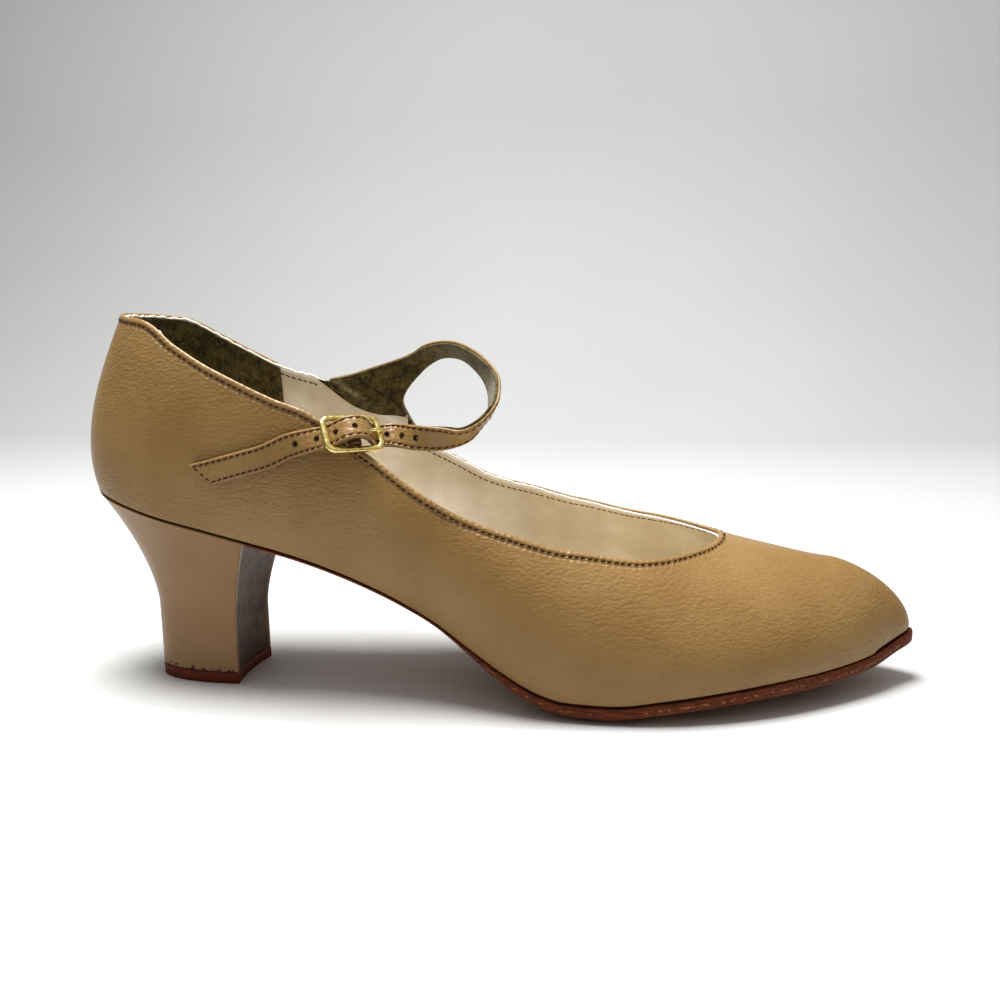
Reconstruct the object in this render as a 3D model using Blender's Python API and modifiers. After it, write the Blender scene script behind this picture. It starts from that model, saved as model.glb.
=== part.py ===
"""Character shoe for the right foot: leather sole, covered heel, one instep strap.

Run it with: blender --background --python part.py, or from Blender's text editor.
Lengths are in metres. The toe points along +X, the inner side of the foot is +Y and the
floor is the plane z = 0. Inside this file a point is first written in the last's own frame,
whose x runs from the back of the heel; the empty "shoe_origin" then centres the whole shoe.
"""
import math
from collections import namedtuple

import bmesh
import bpy
import numpy as np
from mathutils import Vector

# Driving sizes of the last
LAST_LENGTH = 0.254
BALL_WIDTH = 0.074
HEEL_RISE = 0.0564
TOE_SPRING = 0.0106
CONE_HEIGHT = 0.080
VAMP_HEIGHT = 0.0381

# Driving sizes of the pieces
UPPER_WALL = 0.0016
SOLE_EDGE = 0.0034
SOLE_CROWN = 0.0017
SOLE_WELT = 0.0006
INSOLE_THICKNESS = 0.0018
HEEL_BASE_LENGTH = 0.0295
HEEL_BASE_WIDTH = 0.0255
HEEL_LIFT_THICKNESS = 0.0036
STRAP_WIDTH = 0.0072
STRAP_THICKNESS = 0.0018
STRAP_ARCH = 0.0235
BUCKLE_LENGTH = 0.0176
BUCKLE_WIDTH = 0.0118
BUCKLE_WIRE = 0.0015
CENTRE_BAR = 0.00135
PRONG_WIRE = 0.0010
CHAPE_THICKNESS = 0.0008
CHAPE_WIDTH = 0.0024
HOLE_DIAMETER = 0.0016
HOLE_PITCH = 0.0058

# Clearances
GAP = 0.0003
LAID_GAP = 0.0005

# Mesh steps
ARCH_ROWS = 12
OUTLINE_STEPS = 16
QUARTER_COLUMNS = 22
THROAT_COLUMNS = 14
VAMP_COLUMNS = 6
TOE_COLUMNS = 9
PLATE_CELLS = 10
PLATE_ROWS = 36
HEEL_ROWS = 10
HEEL_COLUMNS = 28
STRAP_CELLS = 4
STRAP_STEPS = 3
FINE_STEPS = 12
OUTLINE_POINTS = 200
ARCH_POINTS = 201
RING_STEPS = 12
CORNER_STEPS = 3
HOLE_SIDES = 10
WIRE_ROUNDNESS = 3

LATERAL = -1
MEDIAL = 1

# Plan outline of the feather line, from the back of the heel to the tip of the toe.
# along is a share of LAST_LENGTH; both widths are shares of BALL_WIDTH from the x axis.
Outline = namedtuple("Outline", "along lateral medial")
OUTLINE = (
    Outline(0.000, 0.000, 0.000),
    Outline(0.012, 0.108, 0.108),
    Outline(0.040, 0.230, 0.230),
    Outline(0.100, 0.325, 0.325),
    Outline(0.177, 0.351, 0.338),
    Outline(0.275, 0.338, 0.284),
    Outline(0.375, 0.338, 0.216),
    Outline(0.470, 0.390, 0.230),
    Outline(0.550, 0.466, 0.338),
    Outline(0.630, 0.500, 0.446),
    Outline(0.700, 0.493, 0.486),
    Outline(0.768, 0.440, 0.466),
    Outline(0.835, 0.345, 0.405),
    Outline(0.898, 0.216, 0.331),
    Outline(0.945, 0.095, 0.257),
    Outline(0.976, -0.007, 0.196),
    Outline(0.992, -0.054, 0.149),
    Outline(1.000, -0.108, 0.108),
)

# Height of the feather line: rise is a share of HEEL_RISE, spring a share of TOE_SPRING.
Feather = namedtuple("Feather", "along rise spring")
FEATHER = (
    Feather(0.000, 1.000, 0.000),
    Feather(0.100, 0.890, 0.000),
    Feather(0.200, 0.778, 0.000),
    Feather(0.300, 0.640, 0.000),
    Feather(0.350, 0.550, 0.000),
    Feather(0.400, 0.447, 0.000),
    Feather(0.440, 0.351, 0.000),
    Feather(0.480, 0.227, 0.000),
    Feather(0.520, 0.117, 0.000),
    Feather(0.555, 0.041, 0.000),
    Feather(0.580, 0.008, 0.000),
    Feather(0.605, 0.000, 0.000),
    Feather(0.655, 0.000, 0.010),
    Feather(0.690, 0.000, 0.130),
    Feather(0.755, 0.000, 0.300),
    Feather(0.820, 0.000, 0.430),
    Feather(0.895, 0.000, 0.520),
    Feather(0.945, 0.000, 0.650),
    Feather(0.985, 0.000, 0.900),
    Feather(1.000, 0.000, 1.000),
)

# Cross sections of the last, each a cubic arch from the feather line up to the ridge.
# cone and vamp are the ridge's height as shares of CONE_HEIGHT and VAMP_HEIGHT, ridge is
# its offset as a share of BALL_WIDTH. swell (outwards) and crown (from the ridge) are the
# two handles as shares of BALL_WIDTH, lift is the lower handle's share of the height.
Section = namedtuple(
    "Section",
    "along cone vamp ridge lateral_swell lateral_lift lateral_crown "
    "medial_swell medial_lift medial_crown",
)
SECTIONS = (
    Section(0.000, 0.93, 0.00, 0.000, 0.120, 0.38, -0.030, 0.120, 0.38, -0.030),
    Section(0.100, 1.00, 0.00, 0.000, 0.068, 0.31, 0.210, 0.068, 0.31, 0.210),
    Section(0.200, 1.00, 0.00, 0.000, 0.095, 0.35, 0.297, 0.100, 0.33, 0.310),
    Section(0.275, 0.94, 0.00, 0.000, 0.120, 0.32, 0.365, 0.176, 0.27, 0.384),
    Section(0.375, 0.80, 0.00, 0.020, 0.149, 0.28, 0.450, 0.243, 0.22, 0.426),
    Section(0.470, 0.50, 0.53, 0.027, 0.149, 0.22, 0.500, 0.216, 0.13, 0.460),
    Section(0.550, 0.25, 1.04, 0.034, 0.115, 0.24, 0.527, 0.200, 0.17, 0.507),
    Section(0.620, 0.08, 1.24, 0.041, 0.080, 0.31, 0.486, 0.115, 0.24, 0.486),
    Section(0.700, 0.00, 1.166, 0.047, 0.068, 0.35, 0.405, 0.068, 0.31, 0.358),
    Section(0.760, 0.00, 1.000, 0.054, 0.058, 0.375, 0.310, 0.058, 0.35, 0.270),
    Section(0.845, 0.00, 0.818, 0.068, 0.039, 0.40, 0.203, 0.040, 0.40, 0.170),
    Section(0.900, 0.00, 0.726, 0.088, 0.024, 0.42, 0.140, 0.030, 0.42, 0.115),
    Section(1.000, 0.00, 0.726, 0.088, 0.020, 0.40, 0.155, 0.020, 0.40, 0.155),
)

# The sections fan about a point inside each end; the ridge slopes at the toe's one.
HEEL_FAN = 0.100
TOE_FAN = 0.900
TOE_RIDGE_SLOPE = -0.20

# Columns of the upper lean back from the turn at the waist to the end of the throat.
THROAT_TURN = 0.470
THROAT_LEAN = 0.038

# Collar and throat line: arch is how far up the section's arch the edge lies.
Edge = namedtuple("Edge", "along arch")
LATERAL_EDGE = (
    Edge(0.000, 0.556),
    Edge(0.062, 0.574),
    Edge(0.105, 0.575),
    Edge(0.146, 0.519),
    Edge(0.186, 0.482),
    Edge(0.223, 0.473),
    Edge(0.261, 0.479),
    Edge(0.309, 0.508),
    Edge(0.375, 0.516),
    Edge(0.430, 0.512),
    Edge(0.494, 0.560),
    Edge(0.543, 0.595),
    Edge(0.594, 0.620),
    Edge(0.661, 0.648),
    Edge(0.695, 0.681),
    Edge(0.731, 0.757),
    Edge(0.755, 0.850),
    Edge(0.765, 1.000),
)
MEDIAL_EDGE = (
    Edge(0.000, 0.556),
    Edge(0.062, 0.572),
    Edge(0.100, 0.572),
    Edge(0.140, 0.531),
    Edge(0.177, 0.497),
    Edge(0.216, 0.483),
    Edge(0.266, 0.510),
    Edge(0.320, 0.512),
    Edge(0.370, 0.530),
    Edge(0.415, 0.558),
    Edge(0.465, 0.597),
    Edge(0.525, 0.650),
    Edge(0.586, 0.705),
    Edge(0.635, 0.740),
    Edge(0.680, 0.790),
    Edge(0.715, 0.850),
    Edge(0.747, 0.915),
    Edge(0.765, 1.000),
)


# Sole: edge is a share of SOLE_EDGE, keel and dish are shares of SOLE_CROWN (how far the
# middle lies below the edge, underneath and on top), welt is a share of SOLE_WELT.
Sole = namedtuple("Sole", "along edge keel dish welt")
SOLE = (
    Sole(0.200, 0.10, 1.80, 0.00, -0.30),
    Sole(0.400, 0.10, 1.80, 0.00, -0.30),
    Sole(0.435, 0.16, 1.70, 0.05, -0.20),
    Sole(0.465, 0.32, 1.50, 0.20, 0.10),
    Sole(0.495, 0.60, 1.30, 0.45, 0.40),
    Sole(0.520, 0.80, 1.15, 0.70, 0.60),
    Sole(0.555, 0.92, 1.05, 0.90, 0.80),
    Sole(0.600, 1.00, 1.00, 1.00, 1.00),
    Sole(0.700, 1.00, 1.00, 1.00, 1.00),
    Sole(0.850, 1.05, 0.70, 0.60, 1.00),
    Sole(1.000, 1.05, 0.10, 0.00, 1.00),
)
FLAT_SHARE = 0.50

# Heel block: breast and base positions as shares of LAST_LENGTH, side offset of the base
# as a share of BALL_WIDTH; the block narrows down to its waist, then runs straight.
BREAST_TOP = 0.215
BREAST_BASE = 0.1885
BREAST_SKEW = 0.071
BREAST_HOLLOW = 0.0012
BASE_OFFSET = -0.028
BASE_ROUNDNESS = 2.3
HEEL_WAIST = 0.65
HEEL_HOLLOW = 1.6

# Strap, from the sewn base on the inner quarter to the loop over the instep. Heights of
# strap, buckle and chape are above the feather line, as shares of CONE_HEIGHT.
Base = namedtuple("Base", "rear_along rear_height front_along front_height")
STRAP_BASE = (
    Base(0.318, 0.518, 0.420, 0.332),
    Base(0.296, 0.551, 0.438, 0.390),
    Base(0.276, 0.584, 0.452, 0.462),
    Base(0.272, 0.603, 0.427, 0.503),
    Base(0.286, 0.624, 0.398, 0.522),
    Base(0.303, 0.651, 0.379, 0.557),
    Base(0.320, 0.682, 0.369, 0.611),
)

# A loop row gives the strap's middle: along is a share of LAST_LENGTH, across of BALL_WIDTH,
# and the share arch of STRAP_ARCH is added to its height. The lean is the direction across
# the strap, from its toe edge to its heel edge.
Loop = namedtuple("Loop", "along across height arch lean_x lean_y lean_z")
STRAP_LOOP = (
    Loop(0.388, 0.284, 0.749, 0.20, -3.2, -2.6, 6.4),
    Loop(0.411, 0.234, 0.727, 0.55, -0.6, -5.2, 4.6),
    Loop(0.432, 0.176, 0.704, 0.80, 0.8, -6.0, 3.6),
    Loop(0.453, 0.101, 0.698, 0.95, 1.5, -6.3, 2.9),
    Loop(0.473, 0.014, 0.703, 1.00, 2.4, -6.3, 2.2),
    Loop(0.490, -0.068, 0.716, 0.95, 3.0, -6.1, 1.9),
    Loop(0.501, -0.135, 0.732, 0.82, 3.3, -5.9, 2.0),
    Loop(0.504, -0.196, 0.751, 0.64, 2.6, -6.3, 2.0),
    Loop(0.503, -0.243, 0.772, 0.44, 1.5, -6.4, 2.2),
    Loop(0.493, -0.272, 0.770, 0.24, 1.1, -6.0, 3.5),
    Loop(0.475, -0.286, 0.728, 0.10, 0.9, -4.2, 5.8),
    Loop(0.451, -0.289, 0.684, 0.02, 0.2, -1.2, 7.0),
    Loop(0.419, -0.288, 0.630, 0.00, -0.8, 1.2, 7.0),
)

# In the buckle the strap's middle line is given along the buckle and out of its plane:
# along in half lengths from the centre bar, out in steps up (over the bar) or down.
Weave = namedtuple("Weave", "along over under")
STRAP_WEAVE = (
    Weave(1.55, 0.00, 0.90),
    Weave(1.00, 0.00, 1.05),
    Weave(0.80, 0.00, 0.64),
    Weave(0.62, 0.10, 0.00),
    Weave(0.42, 0.63, 0.00),
    Weave(0.22, 0.92, 0.00),
    Weave(0.00, 1.00, 0.00),
    Weave(-0.22, 0.92, 0.00),
    Weave(-0.42, 0.63, 0.00),
    Weave(-0.62, 0.10, 0.00),
    Weave(-0.80, 0.00, 0.64),
    Weave(-1.00, 0.00, 1.05),
)

# The strap's tail lies on the outer quarter.
Place = namedtuple("Place", "along height")
STRAP_TAIL = (
    Place(0.283, 0.427),
    Place(0.255, 0.361),
    Place(0.220, 0.298),
    Place(0.180, 0.229),
)
TAIL_SLANT = 0.0052

# Place and tilt of the buckle's centre.
BUCKLE_ALONG = 0.352
BUCKLE_ACROSS = -0.372
BUCKLE_HEIGHT = 0.555
BUCKLE_YAW = math.radians(38.0)
BUCKLE_LEAN = math.radians(38.0)
BUCKLE_ROLL = math.radians(-3.0)
BUCKLE_CORNER = 0.0022

# Holes of the strap. The prong's own hole and the start of its slot are half lengths of
# the buckle from the centre bar.
HOLES_BEHIND = 4
HOLES_AHEAD = 3
PRONG_HOLE = 0.42
SLOT_START = 0.22

# Chape: its sewn end lies inside the outer quarter, its lead drops behind the buckle.
CHAPE_SEWN = (Place(0.282, 0.462), Place(0.305, 0.488))
CHAPE_SIDE = 0.0029
CHAPE_BACK = 0.0006
CHAPE_DROP = 0.0033

# The rings of prong and chape go round the centre bar between these angles, in degrees
# from the buckle's front towards its outside.
PRONG_RING = (150.0, 450.0)
CHAPE_RING = (290.0, 560.0)


def hermite(xs, ys, x):
    """Smooth value at x through the points (xs, ys), with three-point slopes."""
    xs = np.asarray(xs, float)
    ys = np.asarray(ys, float)
    rise = np.diff(ys) / np.diff(xs)
    width = np.diff(xs)
    slopes = np.empty(len(xs))
    slopes[1:-1] = (rise[:-1] * width[1:] + rise[1:] * width[:-1]) / (width[:-1] + width[1:])
    slopes[0] = 1.5 * rise[0] - 0.5 * slopes[1]
    slopes[-1] = 1.5 * rise[-1] - 0.5 * slopes[-2]
    x = np.clip(np.asarray(x, float), xs[0], xs[-1])
    k = np.clip(np.searchsorted(xs, x, side="right") - 1, 0, len(xs) - 2)
    t = (x - xs[k]) / width[k]
    low = (1 + 2 * t) * (1 - t) ** 2 * ys[k] + t * (1 - t) ** 2 * width[k] * slopes[k]
    high = t * t * (3 - 2 * t) * ys[k + 1] + t * t * (t - 1) * width[k] * slopes[k + 1]
    return low + high


def smooth_line(points, steps):
    """Points along a smooth line through all the given points, steps to each span."""
    points = np.asarray(points, float)
    chords = np.linalg.norm(np.diff(points.reshape(len(points), -1), axis=0), axis=1)
    knots = np.concatenate([[0.0], np.cumsum(np.sqrt(chords))])
    wanted = np.concatenate(
        [np.linspace(a, b, steps, endpoint=False) for a, b in zip(knots[:-1], knots[1:])] + [knots[-1:]]
    )
    flat = points.reshape(len(points), -1)
    columns = [hermite(knots, flat[:, i], wanted) for i in range(flat.shape[1])]
    return np.stack(columns, axis=1).reshape((len(wanted),) + points.shape[1:])


def column(rows, name, along):
    """One named column of a table, read smoothly at a share of the length."""
    return hermite([row.along for row in rows], [getattr(row, name) for row in rows], along)


def outline_side(side, swell=0.0):
    """Dense plan outline of one side, heel to toe, moved outwards by swell."""
    lateral = [(row.along * LAST_LENGTH, LATERAL * row.lateral * BALL_WIDTH) for row in OUTLINE]
    medial = [(row.along * LAST_LENGTH, MEDIAL * row.medial * BALL_WIDTH) for row in OUTLINE]
    here, there = (lateral, medial) if side == LATERAL else (medial, lateral)
    lead = there[2:0:-1]
    tail = there[-2:-4:-1]
    line = smooth_line(lead + here + tail, OUTLINE_STEPS)
    first = len(lead) * OUTLINE_STEPS
    last = first + (len(here) - 1) * OUTLINE_STEPS
    tangent = np.gradient(line, axis=0)
    tangent /= np.linalg.norm(tangent, axis=1)[:, None]
    normal = side * np.stack([-tangent[:, 1], tangent[:, 0]], axis=1)
    return (line + swell * normal)[first:last + 1]


SIDE_LINES = {side: outline_side(side) for side in (LATERAL, MEDIAL)}


def share_of_line(side):
    """Distance share along one side's outline for each of its dense points."""
    line = SIDE_LINES[side]
    run = np.concatenate([[0.0], np.cumsum(np.linalg.norm(np.diff(line, axis=0), axis=1))])
    return run / run[-1]


SIDE_SHARES = {side: share_of_line(side) for side in (LATERAL, MEDIAL)}


def station_at(side, along):
    """Outline share whose point lies at the given share of the last's length."""
    return np.interp(along * LAST_LENGTH, SIDE_LINES[side][:, 0], SIDE_SHARES[side])


def feather_height(along):
    """Height of the line where upper and sole meet."""
    base = GAP + SOLE_EDGE + SOLE_CROWN
    return base + HEEL_RISE * column(FEATHER, "rise", along) + TOE_SPRING * column(FEATHER, "spring", along)


def ridge_point(along):
    """Top of the last's section at a station, on the x axis's side offset."""
    height = CONE_HEIGHT * column(SECTIONS, "cone", along) + VAMP_HEIGHT * column(SECTIONS, "vamp", along)
    return np.stack(
        [along * LAST_LENGTH, BALL_WIDTH * column(SECTIONS, "ridge", along), feather_height(along) + height],
        axis=-1,
    )


def last_point(side, station, arch):
    """Point of the last's skin: station along the outline, arch from 0 (feather) to 1 (ridge)."""
    station, arch = np.broadcast_arrays(np.asarray(station, float), np.asarray(arch, float))
    x = np.interp(station, SIDE_SHARES[side], SIDE_LINES[side][:, 0])
    y = np.interp(station, SIDE_SHARES[side], SIDE_LINES[side][:, 1])
    along = x / LAST_LENGTH
    centre = np.clip(along, HEEL_FAN, TOE_FAN)
    foot = np.stack([x, y, feather_height(along)], axis=-1)
    ridge = ridge_point(centre)
    inward = ridge - foot
    inward[..., 2] = 0.0
    inward /= np.linalg.norm(inward, axis=-1)[..., None]
    name = "lateral" if side == LATERAL else "medial"
    swell = BALL_WIDTH * column(SECTIONS, name + "_swell", along)[..., None]
    crown = BALL_WIDTH * column(SECTIONS, name + "_crown", along)[..., None]
    lift = column(SECTIONS, name + "_lift", along) * (ridge[..., 2] - foot[..., 2])
    low = foot - swell * inward
    low[..., 2] += lift
    high = ridge - crown * inward
    high[..., 2] += np.where(along > TOE_FAN, TOE_RIDGE_SLOPE, 0.0) * (high[..., 0] - ridge[..., 0])
    t = arch[..., None]
    return (1 - t) ** 3 * foot + 3 * t * (1 - t) ** 2 * low + 3 * t * t * (1 - t) * high + t ** 3 * ridge


def last_normal(side, station, arch):
    """Outward unit normal of the last's skin."""
    step = 1e-4
    along = last_point(side, station + step, arch) - last_point(side, station - step, arch)
    up = last_point(side, station, arch + step) - last_point(side, station, arch - step)
    normal = -side * np.cross(along, up)
    return normal / np.linalg.norm(normal, axis=-1)[..., None]


def edge_line(side):
    """Collar and throat line of one side as dense (station, arch) pairs and their points."""
    rows = LATERAL_EDGE if side == LATERAL else MEDIAL_EDGE
    line = [(float(station_at(side, row.along)), row.arch) for row in rows]
    before = (-line[1][0], line[1][1])
    after = (line[-2][0], 2.0 - line[-2][1])
    dense = smooth_line([before] + line + [after], OUTLINE_STEPS)[OUTLINE_STEPS:-OUTLINE_STEPS]
    return dense, last_point(side, dense[:, 0], dense[:, 1])


def height_above_feather(along, share):
    """Height of a place given as a share of the cone's height above the feather line."""
    return feather_height(along) + CONE_HEIGHT * share


def station_on_height(side, x, z):
    """Station and arch of the skin's point that lies at the given x and z in the quarters."""
    station = station_at(side, x / LAST_LENGTH)
    arches = np.linspace(0.0, 1.0, ARCH_POINTS)
    heights = last_point(side, station, arches)[:, 2]
    return float(station), float(np.interp(z, heights, arches))


def laid_point(side, x, z, lift):
    """Point a given lift outside the skin of the last at x and z."""
    station, arch = station_on_height(side, x, z)
    return last_point(side, station, arch) + lift * last_normal(side, station, arch)


def place_on_last(side, place, lift):
    """Point a given lift outside the last at a place of a table, and the skin's normal there."""
    height = height_above_feather(place.along, place.height)
    station, arch = station_on_height(side, place.along * LAST_LENGTH, height)
    normal = last_normal(side, station, arch)
    return last_point(side, station, arch) + lift * normal, normal


def upper_grid(side):
    """Rows of skin points of one side: a column for each station, feather to edge."""
    line, points = edge_line(side)
    throat_end = line_along(side, line[-1][0])
    turn = float(station_at(side, THROAT_TURN))
    run = np.concatenate([[0.0], np.cumsum(np.linalg.norm(np.diff(points, axis=0), axis=1))])
    throat_run = np.linspace(np.interp(turn, line[:, 0], run), run[-1], THROAT_COLUMNS, endpoint=False)
    quarter = np.linspace(0.0, turn, QUARTER_COLUMNS, endpoint=False)
    throat_feet = np.linspace(THROAT_TURN, throat_end + THROAT_LEAN, THROAT_COLUMNS, endpoint=False)
    vamp_feet = np.linspace(throat_end + THROAT_LEAN, TOE_FAN, VAMP_COLUMNS, endpoint=False)
    vamp_tops = np.linspace(throat_end, TOE_FAN, VAMP_COLUMNS, endpoint=False)
    toe = np.linspace(float(station_at(side, TOE_FAN)), 1.0, TOE_COLUMNS + 1)
    feet = np.concatenate([quarter, station_at(side, throat_feet), station_at(side, vamp_feet), toe])
    tops = np.concatenate([
        quarter, np.interp(throat_run, run, line[:, 0]), station_at(side, vamp_tops), toe,
    ])
    arches = np.concatenate([
        np.interp(quarter, line[:, 0], line[:, 1]),
        np.interp(throat_run, run, line[:, 1]),
        np.ones(VAMP_COLUMNS + TOE_COLUMNS + 1),
    ])
    rows = np.linspace(0.0, 1.0, ARCH_ROWS + 1)[None, :]
    stations = feet[:, None] + (tops - feet)[:, None] * rows
    return last_point(side, stations, arches[:, None] * rows)


def line_along(side, station):
    """Share of the last's length of a station."""
    return float(np.interp(station, SIDE_SHARES[side], SIDE_LINES[side][:, 0])) / LAST_LENGTH


def camber(along, y):
    """0 in the flat middle of the tread, rising to 1 at the feather line."""
    x = np.asarray(along) * LAST_LENGTH
    low = np.interp(x, SIDE_LINES[LATERAL][:, 0], SIDE_LINES[LATERAL][:, 1])
    high = np.interp(x, SIDE_LINES[MEDIAL][:, 0], SIDE_LINES[MEDIAL][:, 1])
    half = np.maximum((high - low) / 2, SOLE_EDGE)
    share = np.clip(np.abs(y - (low + high) / 2) / half, 0.0, 1.0)
    return (np.clip(share - FLAT_SHARE, 0.0, None) / (1 - FLAT_SHARE)) ** 2


def sole_top(along, y):
    """Height of the sole's upper face."""
    dish = SOLE_CROWN * column(SOLE, "dish", along)
    return feather_height(along) - GAP - dish * (1 - camber(along, y))


def sole_tread(along, y):
    """Height of the sole's lower face, flat on the floor under the ball."""
    edge = feather_height(along) - GAP - SOLE_EDGE * column(SOLE, "edge", along)
    keel = SOLE_CROWN * column(SOLE, "keel", along)
    return np.maximum(edge - keel * (1 - camber(along, y)), 0.0)


def insole_floor(along, y):
    """Height of the insole's lower face, clear of the sole and of the heel's seat."""
    dish = np.where(along > BREAST_TOP, SOLE_CROWN * column(SOLE, "dish", along), 0.0)
    return feather_height(along) - dish * (1 - camber(along, y))


def insole_top(along, y):
    """Height of the insole's upper face."""
    return insole_floor(along, y) + INSOLE_THICKNESS


def plate_stations(first, last):
    """Stations along a plate, closer together where its ends are round."""
    turn = 0.5 - 0.5 * np.cos(np.linspace(0.0, math.pi, PLATE_ROWS + 1))
    even = np.linspace(0.0, 1.0, PLATE_ROWS + 1)
    return first + (last - first) * (turn + even) / 2


def plate(name, first, last, swells, faces):
    """Closed plate between two height functions, inside an outline moved outwards by swells."""
    lines = {side: outline_side(side, swells(side)) for side in (LATERAL, MEDIAL)}
    first = max(first, float(lines[LATERAL][0, 0]))
    last = min(last, float(lines[LATERAL][-1, 0]))
    top_rows, bottom_rows = [], []
    for x in plate_stations(first, last):
        low = np.interp(x, lines[LATERAL][:, 0], lines[LATERAL][:, 1])
        high = np.interp(x, lines[MEDIAL][:, 0], lines[MEDIAL][:, 1])
        y = low + (high - low) * (0.5 - 0.5 * np.cos(np.linspace(0.0, math.pi, PLATE_CELLS + 1)))
        along = np.full(len(y), min(x / LAST_LENGTH, 1.0))
        top_rows.append(np.stack([np.full(len(y), x), y, faces[0](along, y)], axis=1))
        bottom_rows.append(np.stack([np.full(len(y), x), y, faces[1](along, y)], axis=1))
    mesh = bmesh.new()
    top = add_grid(mesh, np.array(top_rows))
    bottom = add_grid(mesh, np.array(bottom_rows), flip=True)
    join_rims(mesh, top, bottom)
    return finish_mesh(name, mesh)


def add_grid(mesh, points, flip=False):
    """Quads over a grid of points (rows, columns, 3); returns the vertices."""
    verts = [[mesh.verts.new(point) for point in row] for row in points]
    for i in range(len(verts) - 1):
        for j in range(len(verts[0]) - 1):
            ring = [verts[i][j], verts[i + 1][j], verts[i + 1][j + 1], verts[i][j + 1]]
            mesh.faces.new(ring[::-1] if flip else ring)
    return verts


def rim_of(verts):
    """Vertices round a grid's border."""
    return (
        verts[0][:-1]
        + [row[-1] for row in verts[:-1]]
        + verts[-1][:0:-1]
        + [row[0] for row in verts[:0:-1]]
    )


def join_rims(mesh, top, bottom):
    """Side wall between the borders of two grids of the same size."""
    upper, lower = rim_of(top), rim_of(bottom)
    for k, vert in enumerate(upper):
        n = (k + 1) % len(upper)
        mesh.faces.new([vert, upper[n], lower[n], lower[k]])


def finish_mesh(name, mesh):
    """Mesh object from a bmesh: double points merged, faces turned outwards."""
    bmesh.ops.remove_doubles(mesh, verts=mesh.verts, dist=1e-6)
    bmesh.ops.dissolve_degenerate(mesh, edges=mesh.edges, dist=1e-7)
    bmesh.ops.recalc_face_normals(mesh, faces=mesh.faces)
    if all(edge.is_manifold for edge in mesh.edges) and mesh.calc_volume(signed=True) < 0:
        bmesh.ops.reverse_faces(mesh, faces=mesh.faces)
    data = bpy.data.meshes.new(name)
    mesh.to_mesh(data)
    mesh.free()
    return bpy.data.objects.new(name, data)


def shell(thing, thickness, offset):
    """Give an open surface its wall."""
    solid = thing.modifiers.new("wall", "SOLIDIFY")
    solid.thickness = thickness
    solid.offset = offset
    solid.use_even_offset = True
    return thing


def build_upper():
    """Vamp and quarters as one wall, open at the collar and underneath."""
    mesh = bmesh.new()
    add_grid(mesh, upper_grid(MEDIAL))
    add_grid(mesh, upper_grid(LATERAL), flip=True)
    thing = finish_mesh("upper", mesh)
    face_outwards(thing, MEDIAL)
    return shell(thing, UPPER_WALL, -1.0)


def face_outwards(thing, side):
    """Turn an open surface so that its faces near one side of the shoe look to that side."""
    data = thing.data
    face = max(data.polygons, key=lambda polygon: side * polygon.center.y)
    if side * face.normal.y < 0:
        data.flip_normals()


def build_outsole():
    """Leather sole from the breast of the heel to the toe."""
    def swells(side):
        along = SIDE_LINES[side][:, 0] / LAST_LENGTH
        share = column(SOLE, "welt", along)
        return pad_line(SOLE_WELT * share)[:, None]
    start = BREAST_TOP * LAST_LENGTH + GAP
    return plate("outsole", start, LAST_LENGTH + SOLE_WELT, swells, (sole_top, sole_tread))


def pad_line(values):
    """Values of one side's outline with the few mirrored points before and after it."""
    lead = 2 * OUTLINE_STEPS
    return np.concatenate([np.full(lead, values[0]), values, np.full(lead, values[-1])])


def build_insole():
    """Sock that closes the inside of the shoe underneath."""
    def swells(side):
        return pad_line(np.full(len(SIDE_LINES[side]), -(UPPER_WALL + LAID_GAP)))[:, None]
    return plate("insole", 0.0, LAST_LENGTH, swells, (insole_top, insole_floor))


def heel_top_outline():
    """Seat outline from the outer corner of the breast round the back to the inner corner."""
    breast = BREAST_TOP * LAST_LENGTH
    rows = []
    for side in (LATERAL, MEDIAL):
        line = SIDE_LINES[side]
        corner = [breast, np.interp(breast, line[:, 0], line[:, 1])]
        rows.append(np.array([point for point in line if point[0] < breast] + [corner]))
    outline = np.concatenate([rows[0][::-1], rows[1][1:]])
    return even_points(outline, HEEL_COLUMNS)


def heel_base_outline():
    """Outline of the heel's base, from the outer corner round the back to the inner corner."""
    angles = np.linspace(0.0, math.pi, OUTLINE_POINTS)
    half = HEEL_BASE_WIDTH / 2
    power = 2.0 / BASE_ROUNDNESS
    across = -half * np.sign(np.cos(angles)) * np.abs(np.cos(angles)) ** power
    back = HEEL_BASE_LENGTH * np.sin(angles) ** power
    y = BASE_OFFSET * BALL_WIDTH + across
    x = BREAST_BASE * LAST_LENGTH + BREAST_SKEW * across - back
    return even_points(np.stack([x, y], axis=1), HEEL_COLUMNS)


def even_points(line, count):
    """The line's points resampled to count equal steps."""
    run = np.concatenate([[0.0], np.cumsum(np.linalg.norm(np.diff(line, axis=0), axis=1))])
    wanted = np.linspace(0.0, run[-1], count + 1)
    return np.stack([np.interp(wanted, run, line[:, i]) for i in range(line.shape[1])], axis=1)


def heel_ring(depth):
    """Ring of the heel block at a depth from 0 (seat) to 1 (base), breast included."""
    top, base = heel_top_outline(), heel_base_outline()
    spread = max(1.0 - depth / HEEL_WAIST, 0.0) ** HEEL_HOLLOW
    plan = base + (top - base) * spread
    seat = feather_height(top[:, 0] / LAST_LENGTH) - GAP
    foot = HEEL_LIFT_THICKNESS + GAP
    height = seat * (1 - depth) + foot * depth
    ring = np.column_stack([plan, height])
    steps = np.linspace(0.0, 1.0, PLATE_CELLS // 2 + 1)[1:-1, None]
    breast = ring[-1] + (ring[0] - ring[-1]) * steps
    breast[:, 0] -= 4 * BREAST_HOLLOW * (1 - spread) * (steps * (1 - steps))[:, 0]
    return np.concatenate([ring, breast])


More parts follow.
